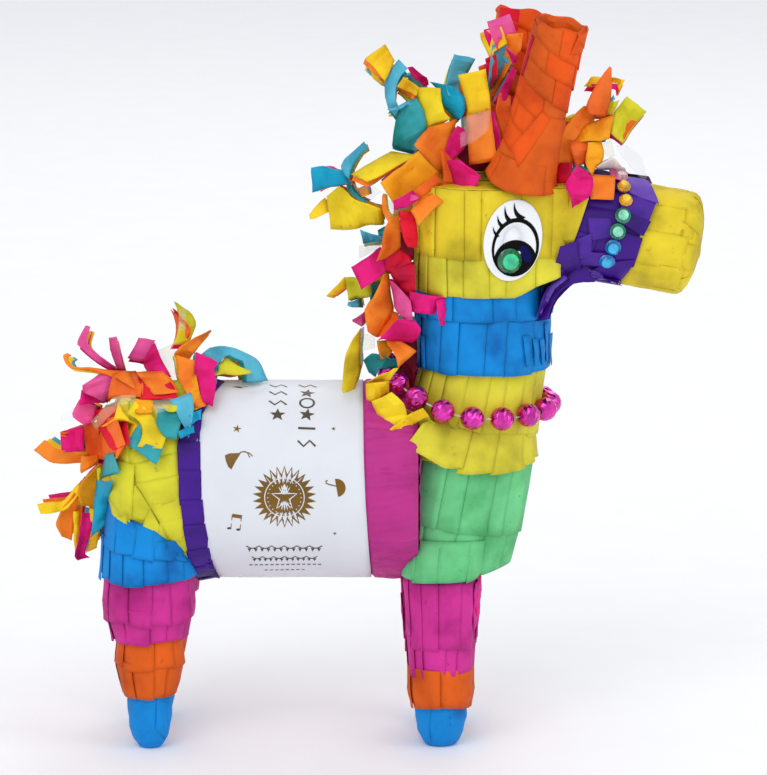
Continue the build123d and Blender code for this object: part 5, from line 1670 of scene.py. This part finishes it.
         (-101.5, -10.1, 144.6, -88.2, -12.9, 146.6), (-102.7, -10.6, 139.0, -87.8, -22.1, 142.4)),
        ("tangerine", (-91.0, -11.6, 150.6, -80.6, -6.4, 150.2),
         (-88.2, -12.6, 147.3, -76.2, -10.7, 147.2), (-83.9, -21.2, 143.2, -73.9, -19.4, 144.0)),
        ("red", (-90.5, -7.6, 148.4, -82.2, -2.4, 150.2),
         (-88.6, -18.0, 144.8, -76.0, -15.8, 145.8), (-89.1, -23.8, 141.7, -74.3, -22.8, 142.2)),
        ("rose", (-112.4, -10.6, 145.3, -105.9, -5.4, 149.0),
         (-112.5, -10.6, 142.1, -97.9, -9.6, 147.7), (-108.9, -10.6, 141.1, -103.6, -5.4, 137.2)),
        ("magenta", (-7.0, -1.0, 2.6), (-112.9, 143.0, -102.9, 140.5),
         (-114.0, 137.4, -105.0, 137.0)),
        ("rose", (-9.0, 0.0, 2.6), (-113.9, 139.2, -106.4, 135.4), (-116.9, 133.1, -107.5, 132.1),
         (-111.0, 128.5, -109.3, 128.9)),
        ("film", (-6.0, 0.0, -1.4), (-122.1, 130.7, -121.2, 129.6),
         (-114.3, 136.1, -112.4, 132.0)),
        ("pale_film", (-108.7, -17.3, 131.6, -106.7, -14.7, 128.1),
         (-99.8, -22.4, 142.9, -96.7, -26.7, 140.2), (-91.3, -21.7, 143.4, -89.7, -25.9, 140.7)),
        ("magenta", (-8.0, 0.0, -2.6), (-121.8, 125.2, -121.2, 118.3),
         (-112.6, 127.0, -112.1, 118.1)),
        ("tangerine", (-7.4, 0.0, 1.7), (-121.9, 125.8, -118.3, 125.1),
         (-121.2, 124.0, -118.7, 123.1)),
        ("flame", (-113.1, -3.4, 126.2, -111.1, -8.6, 116.2),
         (-106.6, -3.7, 128.6, -105.1, -8.9, 114.1), (-98.0, -31.1, 136.5, -98.0, -40.9, 122.1),
         (-94.2, -38.1, 127.6, -97.3, -40.9, 122.1)),
        ("red", (-107.8, -7.6, 133.9, -96.8, -26.2, 140.8),
         (-106.4, -8.1, 126.7, -93.6, -33.7, 133.8), (-99.1, -39.5, 125.0, -92.1, -38.2, 127.6)),
        ("tangerine", (-9.0, 0.0, -1.6), (-132.7, 117.4, -128.0, 122.4),
         (-125.5, 112.8, -123.7, 119.6), (-120.2, 112.5, -117.0, 118.1),
         (-113.4, 112.5, -109.2, 117.7)),
        ("tangerine", (-10.0, -0.5, 2.6), (-113.4, 116.7, -106.6, 115.6),
         (-113.8, 109.5, -106.6, 113.5), (-111.3, 111.1, -107.3, 111.8)),
        ("gold", (-97.7, -26.5, 140.9, -96.6, -27.2, 140.4),
         (-99.0, -31.7, 136.2, -92.6, -32.5, 135.7), (-105.3, -11.4, 128.3, -89.8, -33.7, 134.1),
         (-102.7, -11.4, 125.6, -93.5, -38.5, 127.5)),
        ("amber", (-91.2, -23.8, 142.8, -83.8, -24.8, 142.3),
         (-90.6, -30.0, 138.0, -83.6, -30.0, 138.0)),
        ("yellow", (-93.9, -30.1, 138.0, -89.9, -24.1, 142.7),
         (-90.2, -32.4, 136.0, -86.4, -28.9, 139.2), (-87.3, -34.9, 133.0, -82.1, -33.1, 135.1),
         (-87.9, -37.4, 129.6, -78.2, -37.1, 129.9), (-89.4, -39.1, 126.5, -79.7, -39.6, 126.0)),
        ("teal", (-94.0, -38.7, 127.6, -88.8, -34.0, 134.4),
         (-89.2, -40.2, 124.6, -86.8, -38.7, 127.7), (-81.8, -42.2, 119.9, -79.3, -39.5, 126.1)),
        ("teal", (-81.8, -29.0, 139.2, -72.3, -29.8, 138.7),
         (-82.2, -33.8, 134.5, -72.7, -34.3, 133.9), (-78.4, -37.5, 129.5, -74.4, -38.0, 129.0)),
        ("lime", (-80.1, -27.9, 140.4, -73.8, -26.6, 141.2),
         (-77.6, -30.4, 138.1, -73.7, -30.1, 138.4)),
        ("sky", (-77.2, -25.4, 142.2, -68.6, -21.4, 144.6),
         (-74.8, -28.9, 139.6, -67.5, -27.2, 141.0), (-73.3, -32.4, 136.4, -67.9, -32.4, 136.4),
         (-70.7, -35.4, 132.7, -68.8, -35.9, 132.1), (-69.8, -37.7, 129.6, -69.3, -37.9, 129.5)),
        ("cyan", (-36.9, 1.25, -0.88), (-73.6, 132.1, -72.4, 129.9), (-67.4, 133.9, -67.0, 131.4)),
        ("cyan", (-69.1, -31.4, 137.6, -68.4, -34.9, 133.9),
         (-64.4, -29.4, 139.5, -64.6, -32.6, 136.3)),
        ("film", (-85.1, -26.4, 141.9, -76.4, -24.7, 143.0),
         (-82.5, -30.9, 138.2, -74.1, -28.2, 140.5)),
        ("teal", (-103.6, -15.2, 117.9, -98.8, -41.3, 123.7),
         (-104.5, -15.2, 112.2, -97.0, -43.0, 119.7), (-105.3, -15.2, 108.0, -96.0, -43.8, 117.0)),
        ("cyan", (-107.1, -15.8, 107.4, -99.1, -44.6, 113.6),
         (-108.1, -16.3, 97.9, -102.1, -18.7, 99.2), (-109.3, -16.8, 84.2, -103.7, -19.2, 89.6)),
        ("amber", (-12.02, -0.32, 1.98), (-105.9, 114.0, -103.6, 112.1),
         (-112.0, 108.0, -107.3, 103.8), (-115.0, 102.6, -107.3, 98.0),
         (-113.5, 96.7, -107.7, 94.6)),
        ("gold", (-10.0, -0.33, -1.67), (-131.3, 96.3, -129.8, 92.9), (-125.3, 97.1, -124.4, 93.5),
         (-120.6, 97.2, -119.5, 94.3), (-114.8, 104.6, -113.2, 102.1)),
        ("tangerine", (-9.0, 0.0, 1.1), (-116.2, 101.5, -114.7, 99.5),
         (-121.5, 94.1, -115.5, 92.9), (-124.1, 87.6, -116.9, 87.6), (-121.5, 83.3, -117.6, 80.9)),
        ("gold", (-10.0, 0.0, 0.5), (-116.8, 93.6, -114.4, 93.3), (-116.8, 81.8, -114.7, 81.5),
         (-116.2, 76.7, -113.7, 76.4)),
        ("magenta", (-13.0, 0.0, 1.6), (-113.2, 93.4, -109.3, 92.3), (-114.4, 84.3, -109.4, 86.4),
         (-116.1, 76.9, -112.2, 76.9), (-114.9, 74.3, -110.1, 74.8)),
        ("gold", (-11.0, 0.0, -1.3), (-110.6, 94.5, -106.2, 94.0), (-110.0, 83.1, -106.7, 83.7),
         (-112.1, 76.1, -107.4, 79.3)),
        ("teal", (-10.0, 0.0, -0.8), (-106.5, 85.9, -104.2, 85.6), (-105.3, 78.5, -103.8, 78.9)),
        ("lime", (-18.0, 0.0, 0.4), (-106.7, 113.0, -105.2, 113.5), (-106.2, 106.4, -104.8, 106.2),
         (-105.8, 101.9, -105.3, 101.7)),
        # Dark red sheets inside the tail: painted shade.
        ("deep", (-4.0, -0.67, 0.0), (-103.7, 136.0, -83.7, 137.5), (-106.6, 124.5, -80.9, 127.4),
         (-106.8, 110.0, -95.2, 117.3), (-107.6, 95.4, -102.5, 102.8)),
        ("deep", (-4.0, 0.0, 0.0), (-97.9, 141.8, -76.5, 143.3), (-95.2, 131.6, -73.7, 134.5)),
    ],
    "chin": [
        # Twisted purple paper: the lighter purple strips paint the highlights on its folds.
        ("purple", (-15.98, -0.15, -2.6), (83.4, 206.3, 90.2, 188.5), (80.3, 197.2, 85.5, 188.1),
         (77.5, 191.5, 81.6, 187.3), (73.6, 188.5, 77.8, 184.7), (70.4, 184.2, 75.6, 182.1),
         (69.0, 180.3, 74.4, 180.0), (67.9, 175.5, 73.1, 177.4), (67.3, 172.2, 72.0, 173.9)),
        ("purple", (-19.0, 0.0, 2.6), (81.0, 201.3, 85.5, 189.0), (78.5, 195.2, 82.1, 189.0),
         (74.2, 189.1, 78.7, 188.1), (71.7, 186.5, 75.3, 183.8), (69.2, 181.3, 71.9, 179.4),
         (68.0, 176.1, 70.2, 174.0)),
        ("lilac", (-20.5, 0.0, -0.8), (78.6, 191.4, 80.0, 189.9), (73.4, 188.3, 75.5, 187.2),
         (71.1, 184.8, 73.4, 183.7), (70.1, 181.4, 72.2, 180.8)),
        ("lilac", (-20.5, 0.0, 0.6), (69.4, 180.8, 70.9, 180.1), (68.2, 176.8, 69.9, 176.6),
         (67.5, 174.4, 69.3, 174.4)),
        ("purple", (-14.0, 1.0, -2.6), (83.1, 193.3, 100.1, 187.3), (88.3, 190.7, 99.7, 188.1),
         (91.8, 190.1, 99.3, 188.5)),
        ("lilac", (-17.0, 0.0, 1.2), (87.6, 193.7, 90.2, 192.8), (89.3, 191.8, 93.2, 191.3),
         (88.0, 189.8, 94.1, 189.7)),
    ],
}


def cross_lines(numbers):
    """A strip's cross lines with all six numbers."""
    if len(numbers[0]) == 6:
        return numbers
    depth, step, half = numbers[0]
    lines = []
    for k, (x0, z0, x1, z1) in enumerate(numbers[1:]):
        y = depth + step * k
        lines.append((x0, round(y - half, 1), z0, x1, round(y + half, 1), z1))
    return lines


def smooth_line(points, t):
    """Halfway between straight runs and a Catmull-Rom curve through points, t from 0 to 1."""
    n = len(points) - 1
    i = min(int(t * n), n - 1)
    u = t * n - i
    p0, p1, p2, p3 = (points[max(0, min(n, k))] for k in (i - 1, i, i + 1, i + 2))
    curve = 0.5 * ((2 * p1) + (p2 - p0) * u + (2 * p0 - 5 * p1 + 4 * p2 - p3) * u * u
                   + (3 * p1 - p0 - 3 * p2 + p3) * u ** 3)
    return curve.lerp(p1.lerp(p2, u), 0.65)


# Points on the necklace, and how far a strip keeps from them: along the thread, then the beads.
links = [(Vector(a), Vector(b)) for a, b in zip(route, route[1:])]
bead_spots = [(a.lerp(b, k / 5), 2.8) for a, b in links for k in range(5)]
bead_spots += [((a + b) / 2, 6.1) for a, b in links]
lift_height = 4.0                         # the necklace's slide


def clear_of_beads(p):
    """Keep a strip off the necklace, at rest and lifted."""
    if p.x > 40.0 or not 120.0 < p.z < 170.0:
        return p
    for spot, reach in bead_spots:
        near = Vector((spot.x, spot.y, min(max(p.z, spot.z), spot.z + lift_height)))
        gap = p - near
        if 0.0 < gap.length < reach:
            p = near + gap.normalized() * reach
    return p


def lay_strip(piece, lines, mat, seed, bend=0.6, crush=0.35, change=None):
    """A paper strip through its cross lines, bowed across, with soft creases."""
    edge_a = [Vector(line[:3]) for line in lines]
    edge_b = [Vector(line[3:]) for line in lines]
    long = sum((b - a).length for a, b in zip(edge_a, edge_a[1:]))
    count = max(4, min(18, round(long / 2.0)))
    rows = []
    for i in range(count + 1):
        t = i / count
        a, b = smooth_line(edge_a, t), smooth_line(edge_b, t)
        row = []
        for j in range(7):
            u = j / 6
            p = a.lerp(b, u)
            p.y += bend * sin(pi * u) * (1 if seed % 2 else -1) + 1.3 * sin(pi * t * 1.5 + seed)
            p.y += crush * (wobble(p, 6.0, seed) * 1.4 + 0.9 * ridge(p, 8.0, seed + 2.0) - 0.4)
            p.y += 2.0 * crush * abs((t * 2.3 + 0.35 * u + seed * 0.37) % 1.0 - 0.5)
            p += Vector((wobble(p, 5.0, seed + 5), 0, wobble(p, 5.0, seed + 9))) * 0.25
            if change:
                p = change(p)
            row.append(clear_of_beads(p))
            if change and (row[-1] - p).length > 0.0:
                return                    # a hidden layer's strip would touch the necklace
        rows.append(row)
    piece.grid(rows, mat)


swap = {                                  # the far side's colour for each near one
    "gold": "magenta", "tangerine": "sky", "sky": "yellow", "magenta": "tangerine",
    "yellow": "teal", "teal": "amber", "cyan": "rose", "rose": "gold", "red": "flame",
    "flame": "magenta", "amber": "cyan", "lime": "flame",
}
middles = {
    "topknot": Vector((15, 0, 236)), "mane": Vector((12, 0, 184)),
    "forelock": Vector((90, 0, 240)), "tail": Vector((-92, 0, 138)),
}
chin_strips = strips.pop("chin")
for name, group in strips.items():
    middle = middles[name]
    near = Piece(name + "_near")
    far = Piece(name + "_far")

    def to_core(p):
        """A layer between the two sides, so that the bunch looks full."""
        q = middle + (p - middle) * 0.96
        return Vector((q.x, q.y * 0.35 + 1.5, q.z - 1.5))

    def to_far(p):
        """The far half mirrors the near one, a little smaller, and keeps behind it."""
        q = middle + (Vector((p.x, -p.y, p.z)) - middle) * 0.92
        q.z -= 0.42 * max(0.0, q.y)
        return q

    for k, (mat, *numbers) in enumerate(group):
        lines = cross_lines(numbers)
        lay_strip(near, lines, mat, k, crush=2.2 if name == "forelock" and k == 13 else 0.85)
        if mat in ("film", "pale_film"):
            continue
        lay_strip(near, lines, swap.get(swap.get(mat, mat), mat), k + 0.3, crush=0.8,
                  change=to_core)
        lay_strip(far, lines, swap.get(mat, mat), k + 0.5, crush=0.7, change=to_far)
    near.build("body", [name + "_strips"], thick=0.12, crease=13.0)
    far.build("body", thick=0.12, crease=13.0)

# ---- twisted paper end under the chin --------------------------------------------------

twist = Piece("chin_twist_paper")
for k, (mat, *numbers) in enumerate(chin_strips):
    lines = cross_lines(numbers)
    lay_strip(twist, lines, mat, k, bend=0.9, crush=1.0)
    lay_strip(twist, lines, "purple", k + 0.5, bend=1.4, crush=1.2,
              change=lambda p: p + Vector((0.8, 2.2, -0.6)))
twist.build("body", ["chin_twist"])

# ---- chipboard and other carried-over nodes --------------------------------------------

for name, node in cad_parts.items():
    if not node.hide_render:
        node.data.materials.clear()
        node.data.materials.append(M["board"])

# ---- floor and light -------------------------------------------------------------------

world = bpy.data.worlds.new("studio")
world.use_nodes = True
sky = world.node_tree.nodes["Background"].inputs
sky["Color"].default_value = (0.93, 0.95, 1.0, 1.0)
sky["Strength"].default_value = 0.82
bpy.context.scene.world = world
bpy.context.scene.view_settings.view_transform = "Standard"

floor_mesh = bpy.data.meshes.new("floor")
floor_half, floor_z = 6, -0.0003          # metres; just under the soles
floor_mesh.from_pydata([(x * floor_half, y * floor_half, floor_z)
                        for x, y in ((-1, -1), (1, -1), (1, 1), (-1, 1))], [], [(0, 1, 2, 3)])
floor = bpy.data.objects.new("floor", floor_mesh)
bpy.context.scene.collection.objects.link(floor)
M["floor"] = smooth_paper("floor_paper", "fafafa", spread=0.01, rough=0.7)
floor_mesh.materials.append(M["floor"])
floor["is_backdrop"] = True


def soft_light(name, place, size, power):
    """A square light, in metres and watts, that faces the middle of the donkey."""
    data = bpy.data.lights.new(name, "AREA")
    data.size = size
    data.energy = power
    light = bpy.data.objects.new(name, data)
    light.location = place
    aim = Vector((0.0, 0.0, 0.15)) - Vector(place)
    light.rotation_euler = aim.to_track_quat("-Z", "Y").to_euler()
    bpy.context.scene.collection.objects.link(light)


soft_light("key", (-0.5, -1.3, 1.5), 1.2, 10.0)
soft_light("side", (1.5, -0.7, 0.9), 1.0, 4.0)
soft_light("back", (0.2, 1.4, 1.6), 1.2, 7.0)

low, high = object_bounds()
